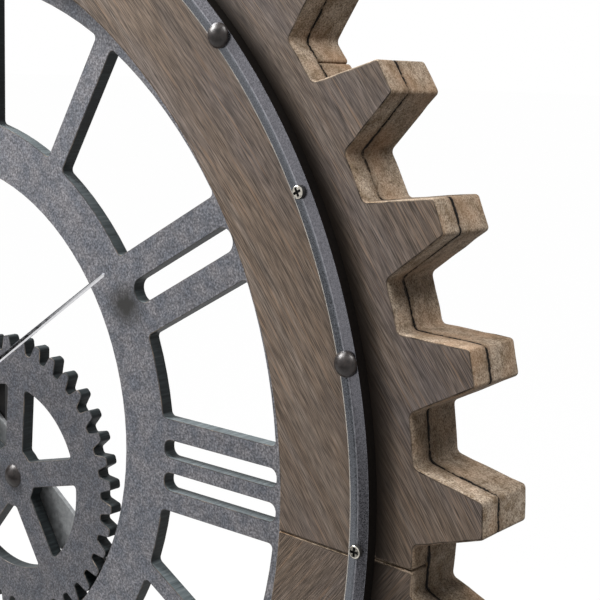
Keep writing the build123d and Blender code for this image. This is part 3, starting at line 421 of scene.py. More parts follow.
def flame_cut_edge(name, top_light):
    """Cut side of the steel plate, scaled by heat, with a share of dusting and of painted light.

    The eye gets a dark blue-green grey with faint drag lines, paler on the sides that look up, from
    dusting and from painted light and sheen.
    """
    material, tree, shader, place = blank(name)
    drawn = add(tree, "Mapping", {"Vector": place, "Scale": (0.0016, 0.02, 0.0016)}, vector_type="TEXTURE")
    lines = add(tree, "TexNoise", {"Vector": drawn, "Scale": 1.0, "Detail": 2.0, "Roughness": 0.6})
    scale = add(tree, "ValToRGB", {0: lines}, stops=[
        (0.30, linear("#0e1011")), (0.55, linear("#1b2022")), (0.78, linear("#303637"))])
    dust_and_top_light = add(tree, "ValToRGB", {0: lines}, stops=[
        (0.30, linear("#4b5356")), (0.55, linear("#636b6e")), (0.78, linear("#7c8486"))])
    # Sides that look up get a paler colour: dust, and painted light and sheen from above
    facing = add(tree, "SeparateXYZ", {0: add(tree, "NewGeometry").outputs["Normal"]})
    top_light_share = add(tree, "MapRange", {0: facing.outputs[2], 1: 0.15, 2: 0.75, 3: 0.0, 4: top_light})
    dusted_and_lit = add(tree, "Mix", {0: top_light_share, 6: scale, 7: dust_and_top_light}, data_type="RGBA")
    bump = add(tree, "Bump", {"Strength": 0.4, "Distance": 0.2 * MM, "Height": lines})
    fill(tree, shader, {
        "Base Color": dusted_and_lit.outputs[2], "Roughness": 0.5, "Specular IOR Level": 0.15,
        "Normal": bump})
    return material


def worn_arris():
    """Corner of the plate where the coat is rubbed to the primer and the metal.

    The eye gets a thin broken tan line between the grey face and the dark edge.
    """
    material, tree, shader, place = blank("steel_plate_rubbed_arris")
    rubbed = add(tree, "TexNoise", {
        "Vector": place, "Scale": 1 / (7 * MM), "Detail": 3.0, "Roughness": 0.6})
    broken = add(tree, "ValToRGB", {0: rubbed}, stops=[
        (0.42, linear("#3b3b3c")), (0.58, linear("#5f5853")), (0.75, linear("#8d8071"))])
    fill(tree, shader, {"Base Color": broken, "Metallic": 0.3, "Roughness": 0.45})
    return material


def cell_jacket():
    """Steel can in a shrunk plastic jacket, plain, with a copper-coloured end.

    The eye gets a glossy dark sleeve that changes colour in one clean line, and bare metal at the ends.
    """
    material, tree, shader, place = blank("cell_can_in_shrunk_jacket")
    along = add(tree, "SeparateXYZ", {0: place})
    band = add(tree, "MapRange", {0: along, 1: 12.9 * MM, 2: 13.1 * MM, 3: 0.0, 4: 1.0})
    scuff = add(tree, "TexNoise", {"Vector": place, "Scale": 1 / (3 * MM), "Detail": 3.0})
    dark = add(tree, "ValToRGB", {0: scuff}, stops=[(0.3, linear("#1b2026")), (0.7, linear("#2a3139"))])
    sleeve = add(tree, "Mix", {0: band, 6: dark, 7: linear("#9a6a3e")}, data_type="RGBA")
    bump = add(tree, "Bump", {"Strength": 0.2, "Distance": 0.05 * MM, "Height": scuff})
    fill(tree, shader, {
        "Base Color": sleeve.outputs[2], "Metallic": 0.2, "Roughness": 0.28, "Normal": bump})
    return material


def plain_finish(name, low, high, size, metallic, roughness, relief, stretch=(1.0, 1.0, 1.0)):
    """Fine-grained finish of one substance: two close tones, a grain size in millimetres and a relief.

    The eye gets the small unevenness that every cast, rolled, plated or moulded surface shows.
    """
    material, tree, shader, place = blank(name)
    drawn = add(tree, "Mapping", {
        "Vector": place, "Scale": tuple(size * MM * s for s in stretch)}, vector_type="TEXTURE")
    grain = add(tree, "TexNoise", {"Vector": drawn, "Scale": 1.0, "Detail": 3.0, "Roughness": 0.6})
    tones = add(tree, "ValToRGB", {0: grain}, stops=[(0.32, linear(low)), (0.68, linear(high))])
    spread = 0.07
    smoothest = 0.02
    shine = add(tree, "MapRange", {
        0: grain, 1: NOISE_LOW, 2: NOISE_HIGH,
        3: max(roughness - spread, smoothest), 4: roughness + spread})
    sheen = CLOSED_SHEEN
    if roughness >= MATT:
        sheen = OPEN_SHEEN
    if roughness >= SOOTY:
        sheen = SOOTY_SHEEN
    bump = add(tree, "Bump", {"Strength": 0.35, "Distance": relief * MM, "Height": grain})
    fill(tree, shader, {
        "Base Color": tones, "Metallic": metallic, "Roughness": shine,
        "Specular IOR Level": sheen, "Normal": bump})
    return material


# Name: darkest tone, lightest tone, grain in mm, metallic, roughness, relief in mm, stretch of the grain
FINISHES = {
    "iron_rolled_and_blackened": ("#5a5a5f", "#7a797f", 0.7, 0.9, 0.28, 0.04),
    "iron_blackened_deep": ("#5b5d62", "#777a80", 0.7, 0.9, 0.28, 0.04),
    # The hoop's ridge and inner edge finishes are lighter as painted highlights, and its sides near-black
    # as painted shade
    "iron_ridge_painted_highlight": ("#7a7a80", "#9a9aa0", 1.0, 0.85, 0.34, 0.03),
    "iron_inner_edge_painted_highlight": ("#8f8b86", "#bcb6ae", 1.6, 0.3, 0.45, 0.03),
    "iron_sides_painted_shade_black": ("#080605", "#120f0d", 1.2, 0.0, 0.85, 0.06),
    "fir_stain_pooled_at_rim": ("#1f1813", "#75675a", 6.0, 0.0, 0.80, 0.10),
    "steel_nickel_plated_bright": ("#aba69c", "#cbc6bc", 0.8, 1.0, 0.24, 0.02),
    # Near-black for the screws' cross recesses and head sides is painted shade
    "steel_recess_and_head_side_painted_shade": ("#080707", "#141211", 0.5, 0.2, 0.60, 0.05),
    "iron_cast_gunmetal": ("#1a1615", "#302a28", 1.6, 0.35, 0.38, 0.15),
    "steel_polished": ("#bdbdc0", "#cfcfd2", 3.0, 1.0, 0.14, 0.004),
    # Darker copy of the polish for one slope of each hand, a painted dark reflection
    "steel_polished_painted_dark_reflection": ("#3a3b3f", "#55565b", 1.2, 0.9, 0.42, 0.02),
    "steel_zinc_plated": ("#8e9091", "#a9abad", 2.2, 0.9, 0.38, 0.03),
    "abs_moulded_black": ("#101011", "#1b1b1d", 0.35, 0.0, 0.50, 0.03),
    "acetal_moulded_white": ("#d3d2cb", "#e6e5df", 0.5, 0.0, 0.35, 0.02),
    "brass_turned": ("#a9803c", "#c99e55", 0.4, 1.0, 0.28, 0.02, (6.0, 1.0, 6.0)),
    "rubber_moulded": ("#111111", "#1f1f1f", 0.6, 0.0, 0.80, 0.06),
    "copper_enamelled": ("#8c4220", "#b8612f", 0.6, 0.9, 0.30, 0.03, (0.25, 2.0, 2.0)),
    "ferrite_sintered": ("#2b2b2d", "#3e3e41", 0.5, 0.2, 0.55, 0.04),
    "silicon_steel_stamped": ("#77797b", "#96989a", 1.0, 0.9, 0.40, 0.03, (6.0, 1.0, 1.0)),
    "fibreglass_solder_resist": ("#0c3218", "#175a2c", 2.4, 0.0, 0.35, 0.05),
    "studio_flag_black_cloth": ("#141414", "#1c1c1c", 4.0, 0.0, 0.9, 0.2),
}

# Finishes with a function of their own
MAKERS = {
    "fir_band_sawn_raw": sawn_fir,
    "steel_plate_rubbed_arris": worn_arris,
    "cell_can_in_shrunk_jacket": cell_jacket,
}


def finish(name):
    """The named finish, made once."""
    found = bpy.data.materials.get(name)
    if found:
        return found
    return MAKERS[name]() if name in MAKERS else plain_finish(name, *FINISHES[name])


def reach(point):
    """Distance of a point from the hands' axis."""
    return hypot(point.x, point.z)


def rise(edge):
    """Depth from one end of an edge to the other."""
    return abs(edge.verts[0].co.y - edge.verts[1].co.y)


def merged_copy(node):
    """Bmesh of a CAD node with its loose triangles joined and its flat faces whole."""
    bm = bmesh.new()
    bm.from_mesh(frame["nodes"][node].data)
    bmesh.ops.remove_doubles(bm, verts=bm.verts, dist=MERGE)
    bmesh.ops.dissolve_limit(bm, angle_limit=radians(FLAT), verts=bm.verts, edges=bm.edges)
    return bm


def turned_body(profile, centre, axis, steps, closed=True):
    """Bmesh of a profile turned one full turn about an axis."""
    bm = bmesh.new()
    points = [bm.verts.new(point) for point in profile]
    ends = points[1:] + points[:1] if closed else points[1:]
    edges = [bm.edges.new(pair) for pair in zip(points, ends)]
    bmesh.ops.spin(
        bm, geom=points + edges, cent=centre, axis=axis, angle=radians(TURN), steps=steps, use_merge=True)
    bmesh.ops.remove_doubles(bm, verts=bm.verts, dist=MERGE)
    bmesh.ops.recalc_face_normals(bm, faces=bm.faces)
    return bm


def sharp_edges(bm, angle, shortest=0.0):
    """Edges whose two faces meet at more than the angle in degrees."""
    return [
        e for e in bm.edges
        if len(e.link_faces) == 2 and e.calc_face_angle() > radians(angle) and e.calc_length() > shortest
    ]


def round_edges(bm, edges, width, segments):
    """Rounds the edges and returns the new faces."""
    made = bmesh.ops.bevel(
        bm, geom=edges, offset=width, offset_type="OFFSET", segments=segments, profile=0.5,
        affect="EDGES", clamp_overlap=False, material=-1)
    return made["faces"]


def piece(bm, name, nodes, materials, body=FRAME_BODY, smooth=SHARP):
    """Makes the bmesh a finished piece that stands for its CAD nodes and rides on their body."""
    mesh = bpy.data.meshes.new(name)
    bm.to_mesh(mesh)
    bm.free()
    for material in materials:
        mesh.materials.append(material)
    mesh.polygons.foreach_set("use_smooth", [True] * len(mesh.polygons))
    mesh.set_sharp_from_angle(angle=radians(smooth))
    made = bpy.data.objects.new(name, mesh)
    bpy.context.scene.collection.objects.link(made)
    # Wide faces keep their own shading beside narrow rounded corners
    made.modifiers.new("even_shading", "WEIGHTED_NORMAL").keep_sharp = True
    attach(made, body)
    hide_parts(*nodes)
    return made


def body_of(node):
    """The body that a CAD node rides on."""
    return frame["nodes"][node]["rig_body"]


# Piece: width of its rounded corners in mm, finish, and its own segments, sharp and smooth angles if any
ROUNDED = {
    "dial_screws": (0.3, "steel_zinc_plated"),
    "gear_bolts": (0.2, "iron_cast_gunmetal", 2, SHARP, 45.0),
    "gear_nuts": (0.4, "steel_zinc_plated"),
    "bridge_bar": (0.3, "steel_zinc_plated"),
    "bridge_screws": (0.3, "steel_zinc_plated"),
    "movement_case": (0.2, "abs_moulded_black"),
    "rear_cover": (0.15, "abs_moulded_black"),
    "cover_screws": (0.12, "steel_zinc_plated"),
    "setting_knob": (0.1, "acetal_moulded_white", 2, 40.0),
    "washer": (0.15, "brass_turned"),
    "hex_nut": (0.25, "brass_turned"),
    "hand_nut": (0.15, "steel_polished", 2, SHARP, 40.0),
    "hanger_plate": (0.2, "steel_zinc_plated"),
    "hanger_screws": (0.3, "steel_zinc_plated"),
    "wall_pads": (0.8, "rubber_moulded", 3),
}

# Pieces that keep the mesh of their solid, and their finish
PAINTED = {
    "gasket": "rubber_moulded",
    "setting_wheel": "acetal_moulded_white",
    "hour_wheel": "acetal_moulded_white",
    "centre_wheel": "acetal_moulded_white",
    "third_wheel": "acetal_moulded_white",
    "fourth_wheel": "acetal_moulded_white",
    "minute_arbor": "brass_turned",
    "rotor": "ferrite_sintered",
    "stator": "silicon_steel_stamped",
    "coil_core": "silicon_steel_stamped",
    "circuit_board": "fibreglass_solder_resist",
    "contacts": "steel_nickel_plated_bright",
}


def round_piece(node, width, name, segments=2, angle=SHARP, smooth=SHARP):
    """Makes a CAD node's copy with rounded corners in one finish."""
    bm = merged_copy(node)
    round_edges(bm, sharp_edges(bm, angle), width * MM, segments)
    piece(bm, f"rounded_{node}", [node], [finish(name)], body_of(node), smooth)


def dress(*nodes):
    """Rounds or paints each CAD node as its table says."""
    for node in nodes:
        if node in ROUNDED:
            round_piece(node, *ROUNDED[node])
        else:
            mesh = frame["nodes"][node].data
            mesh.materials.clear()
            mesh.materials.append(finish(PAINTED[node]))


def wear_outline(bm, depth):
    """Cuts the sawn outline of the teeth into short steps and wears each point back a little."""
    def outer(vert):
        return reach(vert.co) > TOOTH_ROOT

    groups = {}
    for edge in bm.edges:
        if all(outer(v) for v in edge.verts) and rise(edge) < LEVEL:
            groups.setdefault(round(edge.calc_length() / WEAR_STEP) - 1, []).append(edge)
    for cuts, edges in groups.items():
        if cuts > 0:
            bmesh.ops.bisect_edges(bm, edges=edges, cuts=cuts)
    bm.normal_update()
    moves = {}
    for vert in bm.verts:
        walls = [f.normal for f in vert.link_faces if abs(f.normal.y) < WALL_FACE]
        if outer(vert) and walls:
            inward = -sum(walls, Vector()).normalized()
            moves[vert] = inward * depth * (0.5 + 0.5 * noise.noise(vert.co / WEAR_BITE))
    for vert, move in moves.items():
        vert.co += move
    bm.normal_update()


def bow_inner_edge(bm, middle, depth):
    """Saws a board's inner edge fuller toward its middle, whose angle is given in degrees."""
    edge = min(reach(v.co) for v in bm.verts) + 3 * LEVEL
    for vert in bm.verts:
        away = reach(vert.co)
        if away < edge:
            angle = degrees(atan2(vert.co.z, vert.co.x))
            along = (angle - middle + BOARD_SPAN / 2) % TURN / BOARD_SPAN
            share = 1.0 - depth / away * max(sin(pi * along), 0.0) ** 3
            vert.co.x *= share
            vert.co.z *= share


def board_piece(node, face_material, both_sides, middle, bow):
    """Copy of a board with a worn outline, soft corners, a dark stained rim and sawn sides."""
    sizes = bpy.context.scene.clock_sizes
    face_slot, side_slot, rim_slot = range(3)
    bm = merged_copy(node)
    bow_inner_edge(bm, middle, bow)
    upright = [
        e for e in sharp_edges(bm, 25.0)
        if rise(e) > BOARD_WALL and reach(e.verts[0].co) > TOOTH_ROOT]
    round_edges(bm, upright, sizes.tooth_round, 3)
    bm.normal_update()
    wear_outline(bm, sizes.board_wear)
    # Inside the teeth, shorter edges than this are only facets of a curve
    facet = 2.2 * MM
    worn = [
        e for e in sharp_edges(bm, 40.0)
        if e.calc_length() > facet or all(reach(v.co) > TOOTH_ROOT for v in e.verts)]
    round_edges(bm, worn, sizes.board_round, 3)
    bm.normal_update()
    for face in bm.faces:
        level = abs(face.normal.y) if both_sides else -face.normal.y
        face.material_index = face_slot if level > TOP_FACE else side_slot
    if not both_sides:
        front = [f for f in bm.faces if f.material_index == face_slot]
        rim = bmesh.ops.inset_region(
            bm, faces=front, thickness=0.5 * MM, depth=0.0, use_boundary=True, use_even_offset=True)
        for face in rim["faces"]:
            face.material_index = rim_slot
    materials = [face_material, finish("fir_band_sawn_raw"), finish("fir_stain_pooled_at_rim")]
    piece(bm, f"worn_{node}", [node], materials)


class CLOCK_OT_front_boards(bpy.types.Operator):
    """Makes the front layer of the toothed ring"""

    bl_idname = "gear_clock.front_boards"
    bl_label = "Front boards"

    def execute(self, context):
        bow = context.scene.clock_sizes.inner_bow
        for number in range(BOARDS):
            middle = FRONT_MIDDLE + BOARD_SPAN * number
            # The grain runs along the board, square to the line from the hands' axis
            wood = stained_fir(middle + 90.0)
            board_piece(f"front_board_{number + 1}", wood, False, middle, bow)
        return {"FINISHED"}


class CLOCK_OT_back_boards(bpy.types.Operator):
    """Makes the back layer of the toothed ring"""

    bl_idname = "gear_clock.back_boards"
    bl_label = "Back boards"

    def execute(self, context):
        for number in range(BOARDS):
            middle = BACK_MIDDLE + BOARD_SPAN * number
            wood = planed_fir(middle + 90.0)
            board_piece(f"back_board_{number + 1}", wood, True, middle, 0.0)
        return {"FINISHED"}


def recess_faces(bm):
    """Faces of the cross recess: flat ones that lie below the head's top and above its seat."""
    top = min(v.co.y for v in bm.verts)
    largest_wall = 2.5 * MM * MM
    found = []
    for face in bm.faces:
        face.normal_update()
        inside = top + HEAD_EDGE < face.calc_center_median().y < top + RECESS_END
        floor = face.normal.y < -FLAT_FACE
        wall = abs(face.normal.y) < 0.05 and len(face.verts) == 4 and face.calc_area() < largest_wall
        if inside and (floor or wall):
            found.append(face)
    return found


def widen_recess(faces, share):
    """Opens each cross recess about the middle of its floor, as a worn driver leaves it."""
    floors = [face.calc_center_median() for face in faces if face.normal.y < -FLAT_FACE]
    for vert in {v for face in faces for v in face.verts}:
        middle = min(floors, key=lambda f: hypot(vert.co.x - f.x, vert.co.z - f.z))
        vert.co.x = middle.x + (vert.co.x - middle.x) * share
        vert.co.z = middle.z + (vert.co.z - middle.z) * share


def shaded_head_sides(bm):
    """Faces around the side of the heads, which are painted near-black as shade."""
    top = min(v.co.y for v in bm.verts)
    found = []
    for face in bm.faces:
        face.normal_update()
        on_side = top + HEAD_EDGE < face.calc_center_median().y < top + HEAD_SEAT
        if on_side and abs(face.normal.y) < 0.7:
            found.append(face)
    return found


class CLOCK_OT_hoop(bpy.types.Operator):
    """Makes the iron hoop with its screws and studs"""

    bl_idname = "gear_clock.hoop"
    bl_label = "Hoop, screws and studs"

    def execute(self, context):
        sizes = context.scene.clock_sizes
        low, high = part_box("iron_hoop")
        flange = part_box("front_board_1")[0].y
        eaves = low.y + 0.9 * MM
        rubbed = 0.55 * MM
        climb = RIDGE_RADIUS - HOOP_IN
        profile = [
            (HOOP_IN, flange),
            (HOOP_IN, eaves),
            (HOOP_IN + rubbed, eaves + (low.y - eaves) * rubbed / climb),
            (RIDGE_RADIUS, low.y),
            (HOOP_OUT, eaves),
            (HOOP_OUT, high.y),
            (SKIRT_IN, high.y),
            (SKIRT_IN, flange),
        ]
        bm = turned_body([(r, y, 0.0) for r, y in profile], (0, 0, 0), (0, 1, 0), sizes.hoop_steps)
        ridge = [e for e in bm.edges if all(abs(reach(v.co) - RIDGE_RADIUS) < LEVEL for v in e.verts)]
        round_edges(bm, ridge, 1.5 * MM, 5)
        bm.normal_update()
        round_edges(bm, sharp_edges(bm, 45.0), 0.2 * MM, 2)
        # The ridge and the inner edge get the lighter finishes as painted highlights, and the sides the
        # near-black one as painted shade
        outer_slope, inner_slope, ridge_line, sides, inner_edge = range(5)
        for face in bm.faces:
            face.normal_update()
            away = reach(face.calc_center_median())
            if face.normal.y > -0.5:
                face.material_index = sides
            elif away < HOOP_IN + rubbed:
                face.material_index = inner_edge
            elif abs(away - RIDGE_RADIUS) < rubbed:
                face.material_index = ridge_line
            else:
                face.material_index = inner_slope if away < RIDGE_RADIUS else outer_slope
        finishes = [finish(n) for n in (
            "iron_rolled_and_blackened", "iron_blackened_deep", "iron_ridge_painted_highlight", "iron_sides_painted_shade_black",
            "iron_inner_edge_painted_highlight")]
        piece(bm, "spun_iron_hoop", ["iron_hoop"], finishes, smooth=40.0)

        screws = merged_copy("hoop_screws")
        recess = recess_faces(screws)
        widen_recess(recess, sizes.cross_share)
        # Cross recesses and head sides get the near-black finish as painted shade
        for face in recess + shaded_head_sides(screws):
            face.material_index = 1
        piece(screws, "pan_head_screws", ["hoop_screws"],
              [finish("steel_nickel_plated_bright"), finish("steel_recess_and_head_side_painted_shade")])
        studs = merged_copy("hoop_studs")
        piece(studs, "domed_studs", ["hoop_studs"], [finish("iron_cast_gunmetal")], smooth=45.0)
        return {"FINISHED"}


def plate_piece(node, name, coat, edge, width, corner=0.0):
    """Copy of a cut plate: coated faces, dark cut sides and a rubbed line between them."""
    coat_slot, edge_slot, arris_slot = range(3)
    bm = merged_copy(node)
    if corner:
        upright = [e for e in sharp_edges(bm, SHARP) if rise(e) > PLATE_WALL]
        round_edges(bm, upright, corner, 3)
        bm.normal_update()
    for face in bm.faces:
        face.normal_update()
        face.material_index = coat_slot if abs(face.normal.y) > FLAT_FACE else edge_slot
    for face in round_edges(bm, sharp_edges(bm, SHARP), width, 2):
        face.material_index = arris_slot
    piece(bm, name, [node], [coat, edge, finish("steel_plate_rubbed_arris")])


class CLOCK_OT_dial(bpy.types.Operator):
    """Makes the dial plate and its screws"""

    bl_idname = "gear_clock.dial"
    bl_label = "Dial"

    def execute(self, context):
        coat = hammered_plate("steel_plate_hammer_grey_coat", "#ffffff")
        # Its cut sides that look up are paler, with dust and painted light and sheen
        edge = flame_cut_edge("steel_plate_flame_cut_edge_dust_and_painted_light", 1.0)
        plate_piece("dial_plate", "cut_dial_plate", coat, edge, context.scene.clock_sizes.plate_round)
        dress("dial_screws")
        return {"FINISHED"}


class CLOCK_OT_gears(bpy.types.Operator):
    """Makes the two gear plates with their bolts and nuts"""

    bl_idname = "gear_clock.gears"
    bl_label = "Gear plates"

    def execute(self, context):
        sizes = context.scene.clock_sizes
        # The gear plates get a darker copy of the dial's coat, as painted shade
        coat = hammered_plate("steel_plate_hammer_coat_painted_shade", "#d5d5d6")
        # The gears' cut sides get only a little of the paler colour of dust and painted light
        edge = flame_cut_edge("steel_plate_flame_cut_edge", 0.15)
        for node in ("large_gear", "small_gear"):
            plate_piece(node, f"cut_{node}", coat, edge, sizes.plate_round, sizes.gear_corner)
        dress("gear_bolts", "gear_nuts")
        return {"FINISHED"}


class CLOCK_OT_bridge(bpy.types.Operator):
    """Makes the bridge bar and its screws"""

    bl_idname = "gear_clock.bridge"
    bl_label = "Bridge bar"

    def execute(self, context):
        dress("bridge_bar", "bridge_screws")
        return {"FINISHED"}


class CLOCK_OT_movement(bpy.types.Operator):
    """Makes the movement's housing and what clamps it"""

    bl_idname = "gear_clock.movement"
    bl_label = "Movement"

    def execute(self, context):
        dress("movement_case", "rear_cover", "cover_screws", "setting_knob", "washer", "hex_nut", "gasket")
        return {"FINISHED"}


class CLOCK_OT_works(bpy.types.Operator):
    """Paints the wheels, the motor and the circuit inside the case, and winds the coil"""

    bl_idname = "gear_clock.works"
    bl_label = "Works"

    def execute(self, context):
        dress("setting_wheel", "hour_wheel", "centre_wheel", "third_wheel", "fourth_wheel", "minute_arbor",
              "rotor", "stator", "coil_core", "circuit_board", "contacts")
        # Turns drawn half a millimetre wide, far coarser than the real hair-thin wire, so that they show
        low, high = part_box("coil")
        middle = (low + high) / 2
        crest = middle.z + (high.z - low.z) / 2
        bore = middle.z + 1.7 * MM
        groove = crest - 0.2 * MM
        turns = 20
        pitch = (high.x - low.x) / turns
        profile = [(low.x, bore)]
        for turn in range(turns):
            profile.append((low.x + pitch * turn, groove))
            profile.append((low.x + pitch * (turn + 0.5), crest))
        profile.append((high.x, groove))
        profile.append((high.x, bore))
        bm = turned_body([(x, middle.y, z) for x, z in profile], middle, (1, 0, 0), 40)
        piece(bm, "wound_coil", ["coil"], [finish("copper_enamelled")], smooth=60.0)
        return {"FINISHED"}


class CLOCK_OT_cell(bpy.types.Operator):
    """Makes the cell"""

    bl_idname = "gear_clock.cell"
    bl_label = "Cell"

    def execute(self, context):
        low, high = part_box("cell")
        middle = (low + high) / 2
        radius = (high.z - low.z) / 2
        shoulder = high.x - 1.5 * MM
        button = 2.75 * MM
        # Flat end with its crimp, sleeve, shoulder and button, by the place along the can and the radius
        profile = [
            (low.x, 0.0),
            (low.x, radius - 1.6 * MM),
            (low.x + 0.3 * MM, radius - 1.2 * MM),
            (low.x + 0.1 * MM, radius - 0.5 * MM),
            (low.x + 0.6 * MM, radius),
            (shoulder - 0.9 * MM, radius),
            (shoulder - 0.1 * MM, radius - 0.8 * MM),
            (shoulder, radius - 2.2 * MM),
            (shoulder - 0.2 * MM, button),
            (high.x - 0.3 * MM, button),
            (high.x, button - 0.3 * MM),
            (high.x, 0.0),
        ]
        points = [(x, middle.y, middle.z + r) for x, r in profile]
        bm = turned_body(points, middle, (1, 0, 0), 48, closed=False)
        for face in bm.faces:
            spot = face.calc_center_median() - middle
            face.material_index = 0 if hypot(spot.y, spot.z) > radius - 1.1 * MM else 1
        piece(bm, "jacketed_cell", ["cell"],
              [finish("cell_can_in_shrunk_jacket"), finish("steel_nickel_plated_bright")], smooth=35.0)
        return {"FINISHED"}


class CLOCK_OT_hands(bpy.types.Operator):
    """Makes the two hands and the nut that holds them"""

    bl_idname = "gear_clock.hands"
    bl_label = "Hands"

    def execute(self, context):
        slope = context.scene.clock_sizes.hand_slope
        for node in ("hour_hand", "minute_hand"):
            bm = merged_copy(node)
            front = min(v.co.y for v in bm.verts) + LEVEL / 2
            rim = [e for e in sharp_edges(bm, 40.0, 0.7 * MM) if all(v.co.y < front for v in e.verts)]
            round_edges(bm, rim, slope, 1)
            bm.normal_update()
            # The slope on the side that trails as the hand turns gets the darker copy of the polish, a
            # painted dark reflection
            tip = max(bm.verts, key=lambda v: reach(v.co)).co
            side = Vector((-tip.z, 0.0, tip.x)).normalized()
            for face in bm.faces:
                sloped = -TOP_FACE < face.normal.y < -WALL_FACE
                face.material_index = 1 if sloped and face.normal.dot(side) > 0.3 else 0
            piece(bm, f"polished_{node}", [node],
                  [finish("steel_polished"), finish("steel_polished_painted_dark_reflection")], body_of(node))
        dress("hand_nut")
        return {"FINISHED"}


class CLOCK_OT_hanger(bpy.types.Operator):
    """Makes the keyhole hanger, its screws and the wall pads"""

    bl_idname = "gear_clock.hanger"
    bl_label = "Hanger and pads"

    def execute(self, context):
        dress("hanger_plate", "hanger_screws", "wall_pads")
        return {"FINISHED"}


def shown_rays(tree):
    """Light path, and whether a ray shows the background: from the camera, a mirror or glass."""
    ray = add(tree, "LightPath")
    shown = ray.outputs["Is Camera Ray"]
    for kind in ("Is Glossy Ray", "Is Transmission Ray"):
        shown = add(tree, "Math", {0: shown, 1: ray.outputs[kind]}, operation="MAXIMUM")
    return ray, shown


def studio_floor():
    """Matt painted floor. The eye gets plain white with the object's faint shadow."""
    material, tree, shader, place = blank("studio_floor_matt_paint")
    ray, shown = shown_rays(tree)
    # Little light comes back up from the floor, as over a dark carpet
    paint = add(tree, "Mix", {
        0: ray.outputs["Is Diffuse Ray"], 6: tuple(bpy.context.scene.clock_colours.stage),
        7: linear("#8a8a8a")}, data_type="RGBA")
    fill(tree, shader, {"Base Color": paint.outputs[2], "Roughness": 0.9})
    # White far off, and open to the lamps near the object, where its shadow falls
    away = add(tree, "VectorMath", {0: place}, operation="LENGTH")
    white = add(tree, "MapRange", {
        0: away.outputs["Value"], 1: 0.45, 2: 1.0, 3: 0.80, 4: 0.99}, interpolation_type="SMOOTHSTEP")
    share = add(tree, "Math", {0: shown, 1: white}, operation="MULTIPLY")
    glow = add(tree, "Emission", {"Color": WHITE, "Strength": 1.0})
    both = add(tree, "MixShader", {0: share, 1: shader, 2: glow})
    fill(tree, tree.nodes["Material Output"], {0: both})
    return material


def stage_sheet(name, bm, material):
    """Makes the bmesh a sheet of the stage."""
    mesh = bpy.data.meshes.new(name)
    bm.to_mesh(mesh)
    bm.free()
    mesh.materials.append(material)
    made = bpy.data.objects.new(name, mesh)
    bpy.context.scene.collection.objects.link(made)
    return made


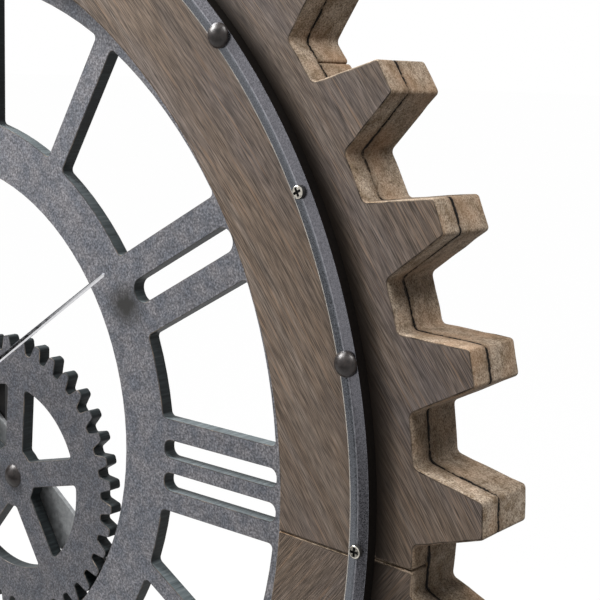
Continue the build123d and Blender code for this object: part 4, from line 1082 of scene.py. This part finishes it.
class CLOCK_OT_stage(bpy.types.Operator):
    """Makes the floor, the lights, the world and the camera"""

    bl_idname = "gear_clock.stage"
    bl_label = "Stage"

    def execute(self, context):
        scene = context.scene
        scene.view_settings.view_transform = "Standard"
        bm = bmesh.new()
        bmesh.ops.create_grid(bm, x_segments=8, y_segments=8, size=40.0)
        bmesh.ops.translate(bm, verts=bm.verts, vec=(0.0, 0.0, cad_box[0][2] - 1.0 * MM))
        stage_sheet("floor", bm, studio_floor())

        world = scene.world or bpy.data.worlds.new("studio")
        scene.world = world
        world.use_nodes = True
        tree = world.node_tree
        tree.nodes.clear()
        shown = shown_rays(tree)[1]
        around = add(tree, "Background", {"Color": WHITE, "Strength": 0.18})
        behind = add(tree, "Background", {"Color": WHITE, "Strength": 1.0})
        both = add(tree, "MixShader", {0: shown, 1: around, 2: behind})
        add(tree, "OutputWorld", {0: both})

        # Soft box high on the left at a low angle to the face, and one high on the right for the teeth
        for name, where, aim, size, power in (
            ("key_soft_box", (-0.52, -0.30, 0.80), (0.22, 0.0, 0.16), 0.45, 26.5),
            ("high_soft_box", (1.20, -0.12, 1.75), (0.3, 0.0, 0.05), 0.8, 42.0),
        ):
            lamp = bpy.data.lights.new(name, "AREA")
            lamp.shape = "SQUARE"
            lamp.size = size
            lamp.energy = power
            holder = bpy.data.objects.new(name, lamp)
            holder.location = where
            holder.rotation_euler = (Vector(aim) - Vector(where)).to_track_quat("-Z", "Y").to_euler()
            holder.visible_camera = False
            scene.collection.objects.link(holder)

        # Dark flags on the far left and low in front, which give the metal something dark to mirror
        for name, turned, where in (
            ("side_flag", "Y", (-1.9, -0.1, 0.7)),
            ("low_flag", "X", (-0.5, -0.65, -1.11)),
        ):
            bm = bmesh.new()
            bmesh.ops.create_grid(bm, x_segments=1, y_segments=1, size=1.0)
            bmesh.ops.rotate(bm, verts=bm.verts, matrix=Matrix.Rotation(radians(90), 3, turned))
            bmesh.ops.translate(bm, verts=bm.verts, vec=where)
            flag = stage_sheet(name, bm, finish("studio_flag_black_cloth"))
            flag.visible_camera = False
            flag.visible_diffuse = False
            flag.visible_shadow = False

        # Camera fitted to the ring's circles and teeth: right, up and back axes, then its place in metres
        lens = bpy.data.cameras.new("camera")
        lens.sensor_width = 36.0
        lens.lens = 79.03
        lens.clip_start = 0.01
        camera = bpy.data.objects.new("camera", lens)
        camera.matrix_world = Matrix((
            (0.778593, -0.133725, 0.613115, 0.598840),
            (0.626662, 0.114350, -0.770856, -0.448430),
            (0.032973, 0.984399, 0.172832, 0.192777),
            (0.0, 0.0, 0.0, 1.0)))
        scene.collection.objects.link(camera)
        scene.camera = camera
        return {"FINISHED"}


STEPS = (
    CLOCK_OT_front_boards, CLOCK_OT_back_boards, CLOCK_OT_hoop, CLOCK_OT_dial, CLOCK_OT_gears,
    CLOCK_OT_bridge, CLOCK_OT_movement, CLOCK_OT_works, CLOCK_OT_cell, CLOCK_OT_hands, CLOCK_OT_hanger,
    CLOCK_OT_stage)


class CLOCK_PT_panel(bpy.types.Panel):
    """Lists the clock's sizes, colours and steps"""

    bl_idname = "CLOCK_PT_panel"
    bl_label = "Gear clock"
    bl_space_type = "VIEW_3D"
    bl_region_type = "UI"
    bl_category = "Gear clock"

    def draw(self, context):
        for group in (context.scene.clock_sizes, context.scene.clock_colours):
            for key in group.__annotations__:
                self.layout.prop(group, key)
        for step in STEPS:
            self.layout.operator(step.bl_idname)


CLASSES = (ClockSizes, ClockColours) + STEPS + (CLOCK_PT_panel,)


def register():
    for made in CLASSES:
        bpy.utils.register_class(made)
    bpy.types.Scene.clock_sizes = bpy.props.PointerProperty(type=ClockSizes)
    bpy.types.Scene.clock_colours = bpy.props.PointerProperty(type=ClockColours)


def unregister():
    del bpy.types.Scene.clock_colours
    del bpy.types.Scene.clock_sizes
    for made in reversed(CLASSES):
        bpy.utils.unregister_class(made)


def main():
    register()
    bpy.ops.gear_clock.front_boards()
    bpy.ops.gear_clock.back_boards()
    bpy.ops.gear_clock.hoop()
    bpy.ops.gear_clock.dial()
    bpy.ops.gear_clock.gears()
    bpy.ops.gear_clock.bridge()
    bpy.ops.gear_clock.movement()
    bpy.ops.gear_clock.works()
    bpy.ops.gear_clock.cell()
    bpy.ops.gear_clock.hands()
    bpy.ops.gear_clock.hanger()
    bpy.ops.gear_clock.stage()


if __name__ == "__main__":
    main()
